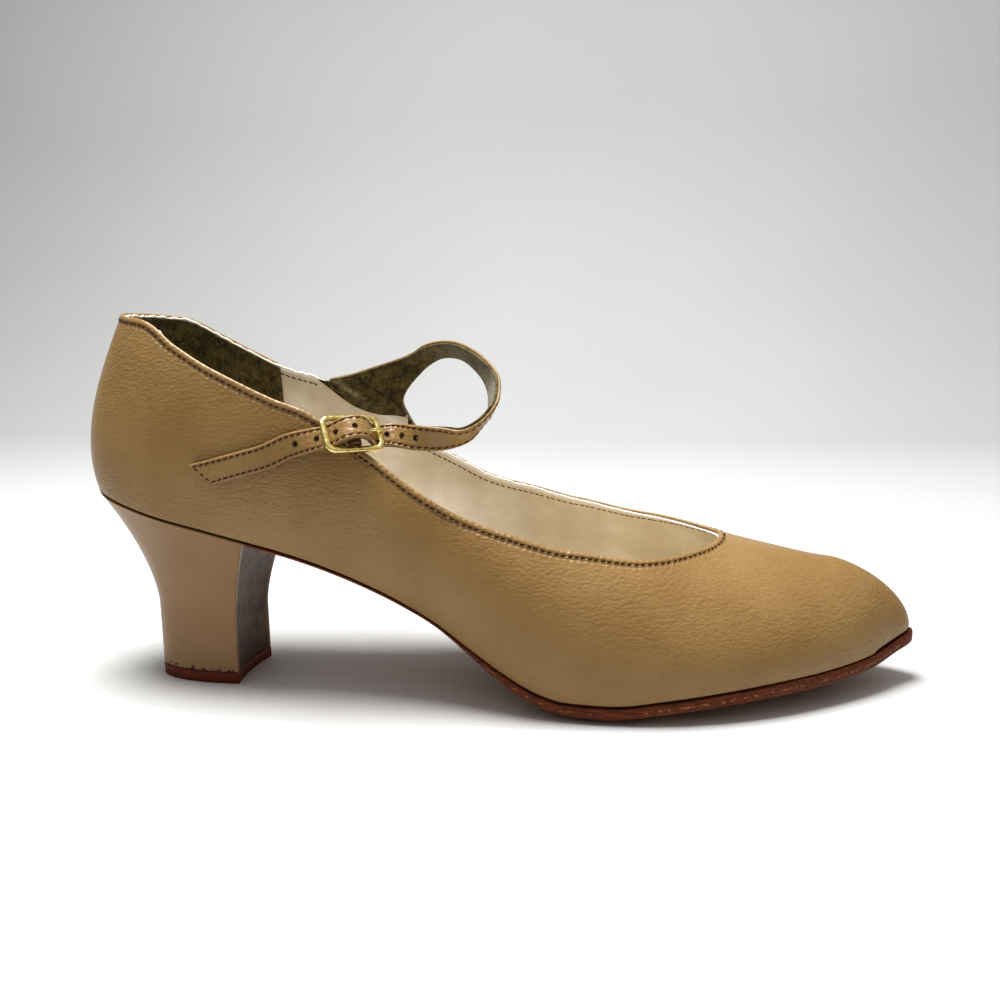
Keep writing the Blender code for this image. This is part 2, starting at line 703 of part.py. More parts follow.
def add_cap(mesh, ring, count, flip):
    """Close a ring whose first count + 1 points face each other across the x axis."""
    breast = ring[count + 1:]
    faces = [[ring[0], ring[1], ring[count - 1], ring[count]] + breast]
    low, high = 1, count - 1
    while high - low > 2:
        faces.append([ring[low], ring[low + 1], ring[high - 1], ring[high]])
        low, high = low + 1, high - 1
    if high - low == 2:
        faces.append([ring[low], ring[low + 1], ring[high]])
    for face in faces:
        mesh.faces.new(face[::-1] if flip else face)


def loft_rings(name, rings):
    """Closed body through rings of equal length, capped at both ends."""
    mesh = bmesh.new()
    verts = [[mesh.verts.new(point) for point in ring] for ring in rings]
    for upper, lower in zip(verts[:-1], verts[1:]):
        for k in range(len(upper)):
            n = (k + 1) % len(upper)
            mesh.faces.new([upper[k], upper[n], lower[n], lower[k]])
    add_cap(mesh, verts[0], HEEL_COLUMNS, flip=False)
    add_cap(mesh, verts[-1], HEEL_COLUMNS, flip=True)
    bmesh.ops.triangulate(mesh, faces=[face for face in mesh.faces if len(face.verts) > 4])
    return finish_mesh(name, mesh)


def build_heel_block():
    """Covered heel: hollow back, flat breast, seat cut to the feather line."""
    return loft_rings("heel_block", [heel_ring(depth) for depth in np.linspace(0.0, 1.0, HEEL_ROWS + 1)])


def build_heel_lift():
    """Top piece under the heel, standing flat on the floor."""
    base = heel_ring(1.0)
    rings = []
    for height in (HEEL_LIFT_THICKNESS, 0.0):
        ring = base.copy()
        ring[:, 2] = height
        rings.append(ring)
    return loft_rings("heel_lift", rings)


def unit(vector):
    """Vector of length one."""
    return np.asarray(vector, float) / np.linalg.norm(vector)


def buckle_frame_axes():
    """Centre of the buckle and its axes: along the strap, across it and out of its plane."""
    height = float(height_above_feather(BUCKLE_ALONG, BUCKLE_HEIGHT))
    centre = np.array([BUCKLE_ALONG * LAST_LENGTH, BUCKLE_ACROSS * BALL_WIDTH, height])
    level = np.array([math.cos(BUCKLE_YAW), math.sin(BUCKLE_YAW), 0.0])
    side = np.array([math.sin(BUCKLE_YAW), -math.cos(BUCKLE_YAW), 0.0])
    up = np.array([0.0, 0.0, 1.0])
    upright = up * math.cos(BUCKLE_LEAN) - side * math.sin(BUCKLE_LEAN)
    out = side * math.cos(BUCKLE_LEAN) + up * math.sin(BUCKLE_LEAN)
    along = level * math.cos(BUCKLE_ROLL) + upright * math.sin(BUCKLE_ROLL)
    across = upright * math.cos(BUCKLE_ROLL) - level * math.sin(BUCKLE_ROLL)
    return centre, along, across, out


def in_buckle(along, across, out):
    """Point given in the buckle's own axes."""
    centre, s, w, n = buckle_frame_axes()
    return centre + along * s + across * w + out * n


def strap_over():
    """Height of the strap's middle over the centre bar: the prong's ring lies between."""
    return BUCKLE_WIRE / 2 + GAP + PRONG_WIRE + 2 * GAP + STRAP_THICKNESS / 2


def strap_under():
    """Depth of the strap's middle under the end bars."""
    return BUCKLE_WIRE / 2 + GAP + STRAP_THICKNESS / 2


def buckle_half():
    """Half the length of the buckle, to the middle of an end bar."""
    return (BUCKLE_LENGTH - BUCKLE_WIRE) / 2


def base_rows(shares):
    """Cross rows of the flared base, laid on the inner quarter."""
    lift = LAID_GAP + STRAP_THICKNESS / 2
    rows = []
    for row in STRAP_BASE:
        front = height_above_feather(row.front_along, row.front_height)
        rear = height_above_feather(row.rear_along, row.rear_height)
        xs = LAST_LENGTH * (row.front_along + (row.rear_along - row.front_along) * shares)
        zs = front + (rear - front) * shares
        rows.append([laid_point(MEDIAL, x, z, lift) for x, z in zip(xs, zs)])
    return rows


def strap_course():
    """Points along the middle of the free strap and the direction across it at each."""
    points, leans = [], []
    for row in STRAP_LOOP:
        height = height_above_feather(row.along, row.height) + STRAP_ARCH * row.arch
        points.append(np.array([row.along * LAST_LENGTH, row.across * BALL_WIDTH, height]))
        leans.append(np.array([row.lean_x, row.lean_y, row.lean_z]))
    for row in STRAP_WEAVE:
        out = row.over * strap_over() - row.under * strap_under()
        points.append(in_buckle(row.along * buckle_half(), 0.0, out))
        leans.append(buckle_frame_axes()[2])
    tail = [place_on_last(LATERAL, row, LAID_GAP + STRAP_THICKNESS / 2) for row in STRAP_TAIL]
    for (point, normal), before in zip(tail, [points[-1]] + [point for point, _ in tail]):
        points.append(point)
        leans.append(np.cross(point - before, normal))
    return np.array(points), np.array(leans)


def strap_rows():
    """Cross rows of the strap's middle surface, from the sewn base to the tip of the tail."""
    shares = np.linspace(0.0, 1.0, STRAP_CELLS + 1)
    rows = base_rows(shares)
    points, leans = strap_course()
    for point, lean, run in zip(points, leans, np.gradient(points, axis=0)):
        run = unit(run)
        across = unit(lean - np.dot(lean, run) * run)
        rows.append(point + np.outer((shares - 0.5) * STRAP_WIDTH, across))
    tip = unit(rows[-1][0] - rows[-2][0])
    rows[-1] = rows[-1] + np.outer(TAIL_SLANT * (shares - 0.5), tip)
    return np.array(rows)


def strap_middle_line():
    """Dense middle line of the strap with its across directions."""
    dense = smooth_line(strap_rows(), FINE_STEPS)
    middle = dense[:, STRAP_CELLS // 2]
    across = dense[:, -1] - dense[:, 0]
    run = np.concatenate([[0.0], np.cumsum(np.linalg.norm(np.diff(middle, axis=0), axis=1))])
    return middle, across, run


def build_strap():
    """Instep strap with its flared base, woven through the buckle, holes punched."""
    mesh = bmesh.new()
    add_grid(mesh, smooth_line(strap_rows(), STRAP_STEPS))
    strap = finish_mesh("strap", mesh)
    shell(strap, STRAP_THICKNESS, 0.0)
    return strap


def punch_strap(strap, cutters):
    """Cut the row of holes and the prong's slot through the strap."""
    middle, across, run = strap_middle_line()
    prong_at = in_buckle(PRONG_HOLE * buckle_half(), 0.0, strap_over() / 2)
    start = run[np.argmin(np.linalg.norm(middle - prong_at, axis=1))]
    for step in range(-HOLES_AHEAD, HOLES_BEHIND + 1):
        if step == 0:
            continue
        place = start + step * HOLE_PITCH
        k = int(np.searchsorted(run, place))
        normal = unit(np.cross(middle[k + 1] - middle[k - 1], across[k]))
        cutter = add_cylinder(f"hole_cutter_{step + HOLES_AHEAD}", middle[k], normal,
                              HOLE_DIAMETER / 2, 3 * STRAP_THICKNESS, HOLE_SIDES)
        file_under(cutter, cutters)
        cut_with(strap, cutter)
    start = in_buckle(SLOT_START * buckle_half(), 0.0, prong_radius())
    slot = wire("slot_cutter", [start, prong_path()[-1]], PRONG_WIRE + 2 * GAP)
    file_under(slot, cutters)
    cut_with(strap, slot)


def add_cylinder(name, centre, direction, radius, depth, sides):
    """Closed cylinder about a centre along a direction."""
    mesh = bmesh.new()
    bmesh.ops.create_cone(mesh, cap_ends=True, segments=sides, radius1=radius, radius2=radius, depth=depth)
    data = bpy.data.meshes.new(name)
    mesh.to_mesh(data)
    mesh.free()
    thing = bpy.data.objects.new(name, data)
    thing.rotation_euler = Vector(direction).to_track_quat("Z", "Y").to_euler()
    thing.location = Vector(centre)
    return thing


def cut_with(thing, cutter):
    """Subtract one closed mesh from another."""
    cut = thing.modifiers.new("cut " + cutter.name, "BOOLEAN")
    cut.operation = "DIFFERENCE"
    cut.solver = "EXACT"
    cut.object = cutter


def wire(name, path, diameter, cyclic=False):
    """Round wire along a path, as a closed mesh."""
    curve = bpy.data.curves.new(name + "_line", "CURVE")
    curve.dimensions = "3D"
    curve.bevel_depth = diameter / 2
    curve.bevel_resolution = WIRE_ROUNDNESS
    curve.use_fill_caps = True
    spline = curve.splines.new("POLY")
    spline.points.add(len(path) - 1)
    for point, place in zip(spline.points, path):
        point.co = (*place, 1.0)
    spline.use_cyclic_u = cyclic
    guide = bpy.data.objects.new(name + "_line", curve)
    bpy.context.scene.collection.objects.link(guide)
    bpy.context.view_layer.update()
    shaped = guide.evaluated_get(bpy.context.evaluated_depsgraph_get())
    data = bpy.data.meshes.new_from_object(shaped)
    bpy.data.objects.remove(guide)
    mesh = bmesh.new()
    mesh.from_mesh(data)
    bmesh.ops.remove_doubles(mesh, verts=mesh.verts, dist=1e-6)
    bmesh.ops.recalc_face_normals(mesh, faces=mesh.faces)
    mesh.to_mesh(data)
    mesh.free()
    data.name = name
    return bpy.data.objects.new(name, data)


def buckle_ring():
    """Middle line of the buckle's frame: a rectangle with round corners."""
    half_width = (BUCKLE_WIDTH - BUCKLE_WIRE) / 2
    path = []
    for quarter, (x, y) in enumerate(((1, 1), (-1, 1), (-1, -1), (1, -1))):
        for step in range(CORNER_STEPS + 1):
            angle = math.pi / 2 * (quarter + step / CORNER_STEPS)
            across = (half_width - BUCKLE_CORNER) * y + BUCKLE_CORNER * math.sin(angle)
            along = (buckle_half() - BUCKLE_CORNER) * x + BUCKLE_CORNER * math.cos(angle)
            path.append(in_buckle(along, across, 0.0))
    return path


def build_buckle(cutters):
    """Buckle frame with its centre bar, one solid."""
    frame = wire("buckle_frame", buckle_ring(), BUCKLE_WIRE, cyclic=True)
    reach = (BUCKLE_WIDTH - BUCKLE_WIRE) / 2
    bar = wire("centre_bar", [in_buckle(0.0, -reach, 0.0), in_buckle(0.0, reach, 0.0)], CENTRE_BAR)
    file_under(bar, cutters)
    joint = frame.modifiers.new("centre bar", "BOOLEAN")
    joint.operation = "UNION"
    joint.solver = "EXACT"
    joint.object = bar
    return frame


def ring_round_bar(radius, across, angles):
    """Arc of points round the centre bar."""
    turns = np.radians(np.linspace(*angles, RING_STEPS + 1))
    return [in_buckle(radius * math.cos(turn), across, radius * math.sin(turn)) for turn in turns]


def prong_radius():
    """Distance of the prong's middle line from the centre bar's."""
    return BUCKLE_WIRE / 2 + GAP + PRONG_WIRE / 2


def prong_path():
    """Prong: a ring round the centre bar, then straight to the top of the front end bar."""
    tip = in_buckle(buckle_half() + PRONG_WIRE, 0.0, prong_radius())
    return ring_round_bar(prong_radius(), 0.0, PRONG_RING) + [tip]


def build_prong():
    """Prong of the buckle."""
    return wire("buckle_prong", prong_path(), PRONG_WIRE)


def build_chape():
    """Small leather loop that holds the centre bar to the inside of the outer quarter."""
    inside = UPPER_WALL + LAID_GAP + CHAPE_THICKNESS / 2
    sewn = [place_on_last(LATERAL, row, -inside)[0] for row in CHAPE_SEWN]
    lead = in_buckle(-CHAPE_BACK, CHAPE_SIDE, -(inside + CHAPE_DROP))
    radius = BUCKLE_WIRE / 2 + GAP + CHAPE_THICKNESS / 2
    middles = np.array(sewn + [lead] + ring_round_bar(radius, CHAPE_SIDE, CHAPE_RING))
    bar = buckle_frame_axes()[2]
    rows = []
    for middle, run in zip(middles, np.gradient(middles, axis=0)):
        run = unit(run)
        across = unit(bar - np.dot(bar, run) * run)
        rows.append([middle - across * CHAPE_WIDTH / 2, middle + across * CHAPE_WIDTH / 2])
    mesh = bmesh.new()
    add_grid(mesh, np.array(rows))
    return shell(finish_mesh("chape", mesh), CHAPE_THICKNESS, 0.0)


def file_under(thing, collection):
    """Put an object in a collection; a cutter is hidden from renders."""
    collection.objects.link(thing)
    if collection.name == "cutters":
        thing.hide_render = True
        thing.display_type = "WIRE"


def paint(thing, name, colour, roughness, metallic=0.0):
    """Give an object its own Principled material."""
    material = bpy.data.materials.new(name)
    material.use_nodes = True
    shader = material.node_tree.nodes["Principled BSDF"]
    shader.inputs["Base Color"].default_value = (*colour, 1.0)
    shader.inputs["Roughness"].default_value = roughness
    shader.inputs["Metallic"].default_value = metallic
    thing.data.materials.append(material)


LEATHER_TAN = (0.300, 0.185, 0.098)
FINISHES = {
    "upper": ("upper leather", LEATHER_TAN, 0.45, 0.0),
    "outsole": ("sole leather", (0.190, 0.075, 0.040), 0.60, 0.0),
    "insole": ("sock lining", (0.480, 0.440, 0.380), 0.85, 0.0),
    "heel_block": ("heel lacquer", (0.270, 0.160, 0.085), 0.25, 0.0),
    "heel_lift": ("top piece", (0.120, 0.050, 0.030), 0.55, 0.0),
    "strap": ("strap leather", LEATHER_TAN, 0.45, 0.0),
    "buckle_frame": ("gilt buckle", (0.850, 0.640, 0.250), 0.22, 1.0),
    "buckle_prong": ("gilt prong", (0.850, 0.640, 0.250), 0.22, 1.0),
    "chape": ("chape leather", LEATHER_TAN, 0.50, 0.0),
}


def bounds_of(pieces):
    """Lowest and highest corner of the box round all the finished pieces."""
    graph = bpy.context.evaluated_depsgraph_get()
    corners = np.array([
        piece.matrix_world @ Vector(corner) for piece in pieces for corner in piece.evaluated_get(graph).bound_box
    ])
    return corners.min(axis=0), corners.max(axis=0)


def clear_scene():
    """Remove whatever the scene holds."""
    for thing in list(bpy.data.objects):
        bpy.data.objects.remove(thing)


def main():
    """Build the shoe and centre it over the origin."""
    clear_scene()
    shoe = bpy.data.collections.new("character_shoe")
    cutters = bpy.data.collections.new("cutters")
    bpy.context.scene.collection.children.link(shoe)
    bpy.context.scene.collection.children.link(cutters)
    strap = build_strap()
    pieces = [build_upper(), build_outsole(), build_insole(), build_heel_block(), build_heel_lift(),
              strap, build_buckle(cutters), build_prong(), build_chape()]
    punch_strap(strap, cutters)
    origin = bpy.data.objects.new("shoe_origin", None)
    shoe.objects.link(origin)
    for piece in pieces:
        shoe.objects.link(piece)
        piece.parent = origin
        paint(piece, *FINISHES[piece.name])
        if piece.name not in ("outsole", "insole"):
            piece.data.shade_smooth()
    for cutter in cutters.objects:
        cutter.parent = origin
    bpy.context.view_layer.update()
    low, high = bounds_of(pieces)
    origin.location = (-(low[0] + high[0]) / 2, -(low[1] + high[1]) / 2, 0.0)
    bpy.context.view_layer.update()


if __name__ == "__main__":
    main()
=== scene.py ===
"""Character shoe for the right foot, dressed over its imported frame.

Lengths are in metres unless a name ends in _MM. A point is first worked out on the shoemaker's
last, whose x runs from the back of the heel; LAST_TO_FRAME then moves it into the frame. The
toe points along +X, the inner side of the foot is +Y and the floor is the plane z = 0.
"""
import logging
import math
from dataclasses import dataclass, field
from enum import Enum
from functools import cached_property
from typing import Callable, Sequence

import bmesh
import bpy
import numpy as np
from mathutils import Matrix, Vector
from mathutils.bvhtree import BVHTree


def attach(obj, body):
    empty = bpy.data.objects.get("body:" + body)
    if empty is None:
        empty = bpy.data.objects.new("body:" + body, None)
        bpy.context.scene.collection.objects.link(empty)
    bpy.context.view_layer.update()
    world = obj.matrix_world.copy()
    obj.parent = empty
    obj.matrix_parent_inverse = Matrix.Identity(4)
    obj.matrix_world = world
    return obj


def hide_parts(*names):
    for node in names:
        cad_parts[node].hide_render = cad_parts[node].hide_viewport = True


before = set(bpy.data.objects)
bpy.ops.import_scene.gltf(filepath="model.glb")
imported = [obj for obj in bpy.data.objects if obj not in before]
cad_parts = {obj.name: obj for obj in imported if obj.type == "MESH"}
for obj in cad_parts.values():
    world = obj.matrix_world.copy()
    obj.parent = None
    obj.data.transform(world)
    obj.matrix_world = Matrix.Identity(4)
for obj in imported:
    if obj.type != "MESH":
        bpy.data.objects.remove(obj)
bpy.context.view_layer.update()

LOG = logging.getLogger("character_shoe")
MM = 0.001
LAST_TO_FRAME = np.array([-0.1266163, 0.0006526, 0.0])
GAP = 0.0003

Line = np.ndarray
Points = np.ndarray


class Side(Enum):
    """The two sides of the shoe; the value is the sign of y."""

    LATERAL = -1
    MEDIAL = 1

    @property
    def other(self) -> "Side":
        """The opposite side."""
        return Side(-self.value)


# Plan outline of the feather line: share of the length, then the widths to the outer and the
# inner side as shares of the ball's width.
OUTLINE = np.array([
    (0.000, 0.000, 0.000), (0.012, 0.108, 0.108), (0.040, 0.230, 0.230), (0.100, 0.325, 0.325),
    (0.177, 0.351, 0.338), (0.275, 0.338, 0.284), (0.375, 0.338, 0.216), (0.470, 0.390, 0.230),
    (0.550, 0.466, 0.338), (0.630, 0.500, 0.446), (0.700, 0.493, 0.486), (0.768, 0.440, 0.466),
    (0.835, 0.345, 0.405), (0.898, 0.216, 0.331), (0.945, 0.095, 0.257), (0.976, -0.007, 0.196),
    (0.992, -0.054, 0.149), (1.000, -0.108, 0.108),
])

# Height of the feather line: share of the length, of the heel's rise and of the toe's spring.
FEATHER = np.array([
    (0.000, 1.000, 0.000), (0.100, 0.890, 0.000), (0.200, 0.778, 0.000), (0.300, 0.640, 0.000),
    (0.350, 0.550, 0.000), (0.400, 0.447, 0.000), (0.440, 0.351, 0.000), (0.480, 0.227, 0.000),
    (0.520, 0.117, 0.000), (0.555, 0.041, 0.000), (0.580, 0.008, 0.000), (0.605, 0.000, 0.000),
    (0.655, 0.000, 0.010), (0.690, 0.000, 0.130), (0.755, 0.000, 0.300), (0.820, 0.000, 0.430),
    (0.895, 0.000, 0.520), (0.945, 0.000, 0.650), (0.985, 0.000, 0.900), (1.000, 0.000, 1.000),
])

# Sections: share of the length; height of cone and vamp; offset of the ridge; then swell,
# lift and crown of the outer side, and the same of the inner side.
SECTIONS = np.array([
    (0.000, 0.93, 0.00, 0.000, 0.120, 0.38, -0.030, 0.120, 0.38, -0.030),
    (0.100, 1.00, 0.00, 0.000, 0.068, 0.31, 0.210, 0.068, 0.31, 0.210),
    (0.200, 1.00, 0.00, 0.000, 0.095, 0.35, 0.297, 0.100, 0.33, 0.310),
    (0.275, 0.94, 0.00, 0.000, 0.120, 0.32, 0.365, 0.176, 0.27, 0.384),
    (0.375, 0.80, 0.00, 0.020, 0.149, 0.28, 0.450, 0.243, 0.22, 0.426),
    (0.470, 0.50, 0.53, 0.027, 0.149, 0.22, 0.500, 0.216, 0.13, 0.460),
    (0.550, 0.25, 1.04, 0.034, 0.115, 0.24, 0.527, 0.200, 0.17, 0.507),
    (0.620, 0.08, 1.24, 0.041, 0.080, 0.31, 0.486, 0.115, 0.24, 0.486),
    (0.700, 0.00, 1.166, 0.047, 0.068, 0.35, 0.405, 0.068, 0.31, 0.358),
    (0.760, 0.00, 1.000, 0.054, 0.058, 0.375, 0.310, 0.058, 0.35, 0.270),
    (0.845, 0.00, 0.818, 0.068, 0.039, 0.40, 0.203, 0.040, 0.40, 0.170),
    (0.900, 0.00, 0.726, 0.088, 0.024, 0.42, 0.140, 0.030, 0.42, 0.115),
    (1.000, 0.00, 0.726, 0.088, 0.020, 0.40, 0.155, 0.020, 0.40, 0.155),
])

# Topline of each side: share of the length, share of the section's arch.
TOPLINE = {
    Side.LATERAL: np.array([
        (0.000, 0.556), (0.062, 0.574), (0.105, 0.575), (0.146, 0.519), (0.186, 0.482),
        (0.223, 0.473), (0.261, 0.479), (0.309, 0.508), (0.375, 0.516), (0.430, 0.512),
        (0.494, 0.560), (0.543, 0.595), (0.594, 0.620), (0.661, 0.648), (0.695, 0.681),
        (0.731, 0.757), (0.755, 0.850), (0.765, 1.000),
    ]),
    Side.MEDIAL: np.array([
        (0.000, 0.556), (0.062, 0.572), (0.100, 0.572), (0.140, 0.531), (0.177, 0.497),
        (0.216, 0.483), (0.266, 0.510), (0.320, 0.512), (0.370, 0.530), (0.415, 0.558),
        (0.465, 0.597), (0.525, 0.650), (0.586, 0.705), (0.635, 0.740), (0.680, 0.790),
        (0.715, 0.850), (0.747, 0.915), (0.765, 1.000),
    ]),
}

# Sole: share of the length; edge thickness; how far the middle lies below the edge,
# underneath and on top; how far the edge stands out.
SOLE = np.array([
    (0.200, 0.10, 1.80, 0.00, -0.30), (0.400, 0.10, 1.80, 0.00, -0.30),
    (0.435, 0.16, 1.70, 0.05, -0.20), (0.465, 0.32, 1.50, 0.20, 0.10),
    (0.495, 0.60, 1.30, 0.45, 0.40), (0.520, 0.80, 1.15, 0.70, 0.60),
    (0.555, 0.92, 1.05, 0.90, 0.80), (0.600, 1.00, 1.00, 1.00, 1.00),
    (0.700, 1.00, 1.00, 1.00, 1.00), (0.850, 1.05, 0.70, 0.60, 1.00),
    (1.000, 1.05, 0.10, 0.00, 1.00),
])

# Flared base of the strap: share of the length and height of its rear and of its front edge.
STRAP_BASE = np.array([
    (0.318, 0.518, 0.420, 0.332), (0.296, 0.551, 0.438, 0.390), (0.276, 0.578, 0.445, 0.440),
    (0.270, 0.588, 0.402, 0.496), (0.284, 0.611, 0.384, 0.522), (0.303, 0.645, 0.373, 0.557),
    (0.320, 0.682, 0.366, 0.611),
])

# Loop of the strap: place along, across and up, share of the arch, then the lean across it.
STRAP_LOOP = np.array([
    (0.388, 0.284, 0.749, 0.20, -3.2, -2.6, 6.4), (0.411, 0.234, 0.727, 0.55, -0.6, -5.2, 4.6),
    (0.432, 0.176, 0.704, 0.80, 0.8, -6.0, 3.6), (0.453, 0.101, 0.698, 0.95, 1.5, -6.3, 2.9),
    (0.473, 0.014, 0.703, 1.00, 2.4, -6.3, 2.2), (0.490, -0.068, 0.716, 0.95, 3.0, -6.1, 1.9),
    (0.501, -0.135, 0.732, 0.82, 3.3, -5.9, 2.0), (0.504, -0.196, 0.751, 0.64, 2.6, -6.3, 2.0),
    (0.503, -0.243, 0.772, 0.44, 1.5, -6.4, 2.2), (0.493, -0.272, 0.770, 0.24, 1.3, -6.3, 2.6),
    (0.475, -0.286, 0.728, 0.10, 1.0, -5.4, 4.4), (0.451, -0.289, 0.684, 0.02, 0.4, -2.6, 6.6),
    (0.419, -0.288, 0.630, 0.00, -0.8, 1.2, 7.0),
])

# Weave through the buckle: half lengths from the centre bar, share over it, share under.
STRAP_WEAVE = np.array([
    (1.55, 0.00, 0.90), (1.00, 0.00, 1.05), (0.80, 0.00, 0.64), (0.62, 0.10, 0.00),
    (0.42, 0.63, 0.00), (0.22, 0.92, 0.00), (0.00, 1.00, 0.00), (-0.22, 0.92, 0.00),
    (-0.42, 0.63, 0.00), (-0.62, 0.10, 0.00), (-0.80, 0.00, 0.64), (-1.00, 0.00, 1.05),
])

# Tail of the strap on the outer quarter: share of the length, height.
STRAP_TAIL = np.array([(0.283, 0.427), (0.255, 0.361), (0.220, 0.298), (0.180, 0.229)])

# Seam of the chape inside the outer quarter: share of the length, height.
CHAPE_SEAM = ((0.282, 0.462), (0.305, 0.488))

# Section of the folded topline in mm: out of the skin, down from the edge.
ROLL_FORM = np.array([
    (-0.06, 2.35), (-0.03, 2.10), (0.00, 1.80), (0.14, 1.40), (0.20, 0.90), (0.14, 0.42),
    (-0.06, 0.08), (-0.34, -0.03), (-0.62, 0.06), (-0.84, 0.35), (-0.94, 0.85), (-0.98, 1.60),
    (-0.98, 2.20), (-0.50, 2.40),
])

# Soft forms: centre x and z on the last in mm, direction in degrees, reach and width in mm,
# height in mm, side as the sign of y.
CREASES = (
    (112.0, 52.0, 62.0, 16.0, 3.2, -0.25, -1),
    (122.0, 47.0, 60.0, 15.0, 3.0, 0.18, -1),
)

# Front edge of the counter lining.
COUNTER_EDGE = 0.0540

# At the strap's root: height of the border between suede and lining over x, and the rise of
# the suede's upper edge over the topline.
ROOT_BORDER = np.array([
    (0.0655, 0.0916), (0.0678, 0.0899), (0.0720, 0.0863), (0.0768, 0.0829),
    (0.0830, 0.0806), (0.0901, 0.0793), (0.0945, 0.0787),
])
ROOT_RISE = np.array([
    (0.0655, -0.0003), (0.0690, 0.0007), (0.0730, 0.0032), (0.0770, 0.0060),
    (0.0850, 0.0072), (0.0915, 0.0066), (0.0945, 0.0042),
])


def hermite(xs: Line, ys: Line, x: Line | float) -> Line:
    """Read a smooth curve with three-point slopes.

    Args:
        xs: Rising places of the known values.
        ys: Known values.
        x: Places to read.

    Returns:
        The values at x.
    """
    xs, ys = np.asarray(xs, float), np.asarray(ys, float)
    width = np.diff(xs)
    rise = np.diff(ys) / width
    slopes = np.empty(len(xs))
    slopes[1:-1] = (rise[:-1] * width[1:] + rise[1:] * width[:-1]) / (width[:-1] + width[1:])
    slopes[0] = 1.5 * rise[0] - 0.5 * slopes[1]
    slopes[-1] = 1.5 * rise[-1] - 0.5 * slopes[-2]
    x = np.clip(np.asarray(x, float), xs[0], xs[-1])
    k = np.clip(np.searchsorted(xs, x, side="right") - 1, 0, len(xs) - 2)
    t = (x - xs[k]) / width[k]
    low = (1 + 2 * t) * (1 - t) ** 2 * ys[k] + t * (1 - t) ** 2 * width[k] * slopes[k]
    return low + t * t * (3 - 2 * t) * ys[k + 1] + t * t * (t - 1) * width[k] * slopes[k + 1]


def column(rows: Points, number: int, at: Line | float) -> Line:
    """Read one column of a table smoothly over its first."""
    return hermite(rows[:, 0], rows[:, number], at)


def smooth_line(points: Points, steps: int) -> Points:
    """Draw a smooth line through points.

    Args:
        points: Points, or rows of points, to pass through.
        steps: Steps in each span.

    Returns:
        The denser points or rows.
    """
    points = np.asarray(points, float)
    flat = points.reshape(len(points), -1)
    chords = np.linalg.norm(np.diff(flat, axis=0), axis=1)
    knots = np.concatenate([[0.0], np.cumsum(np.sqrt(chords))])
    spans = [np.linspace(a, b, steps, endpoint=False) for a, b in zip(knots[:-1], knots[1:])]
    wanted = np.concatenate(spans + [knots[-1:]])
    columns = [hermite(knots, flat[:, i], wanted) for i in range(flat.shape[1])]
    return np.stack(columns, axis=1).reshape((len(wanted),) + points.shape[1:])


def run_of(line: Points) -> Line:
    """Distance run along a line of points, from its start."""
    return np.concatenate([[0.0], np.cumsum(np.linalg.norm(np.diff(line, axis=0), axis=1))])


def at_runs(line: Points, run: Line, wanted: Line) -> Points:
    """Read points of a line at wanted distances along it."""
    return np.stack([np.interp(wanted, run, line[:, i]) for i in range(line.shape[1])], axis=1)


def unit(vectors: Points) -> Points:
    """Vectors brought to length one."""
    vectors = np.asarray(vectors, float)
    return vectors / np.linalg.norm(vectors, axis=-1, keepdims=True)


def square_to(run: Points, direction: Points) -> Points:
    """Unit directions square to each run, turned least from a direction."""
    return unit(direction - np.sum(run * direction, axis=-1, keepdims=True) * run)


def circle(count: int) -> Line:
    """Angles of a full turn in equal steps."""
    return np.linspace(0.0, 2 * math.pi, count, endpoint=False)


def eased(count: int) -> Line:
    """Shares from 0 to 1 that lie closer together at both ends."""
    return 0.5 - 0.5 * np.cos(np.linspace(0.0, math.pi, count))


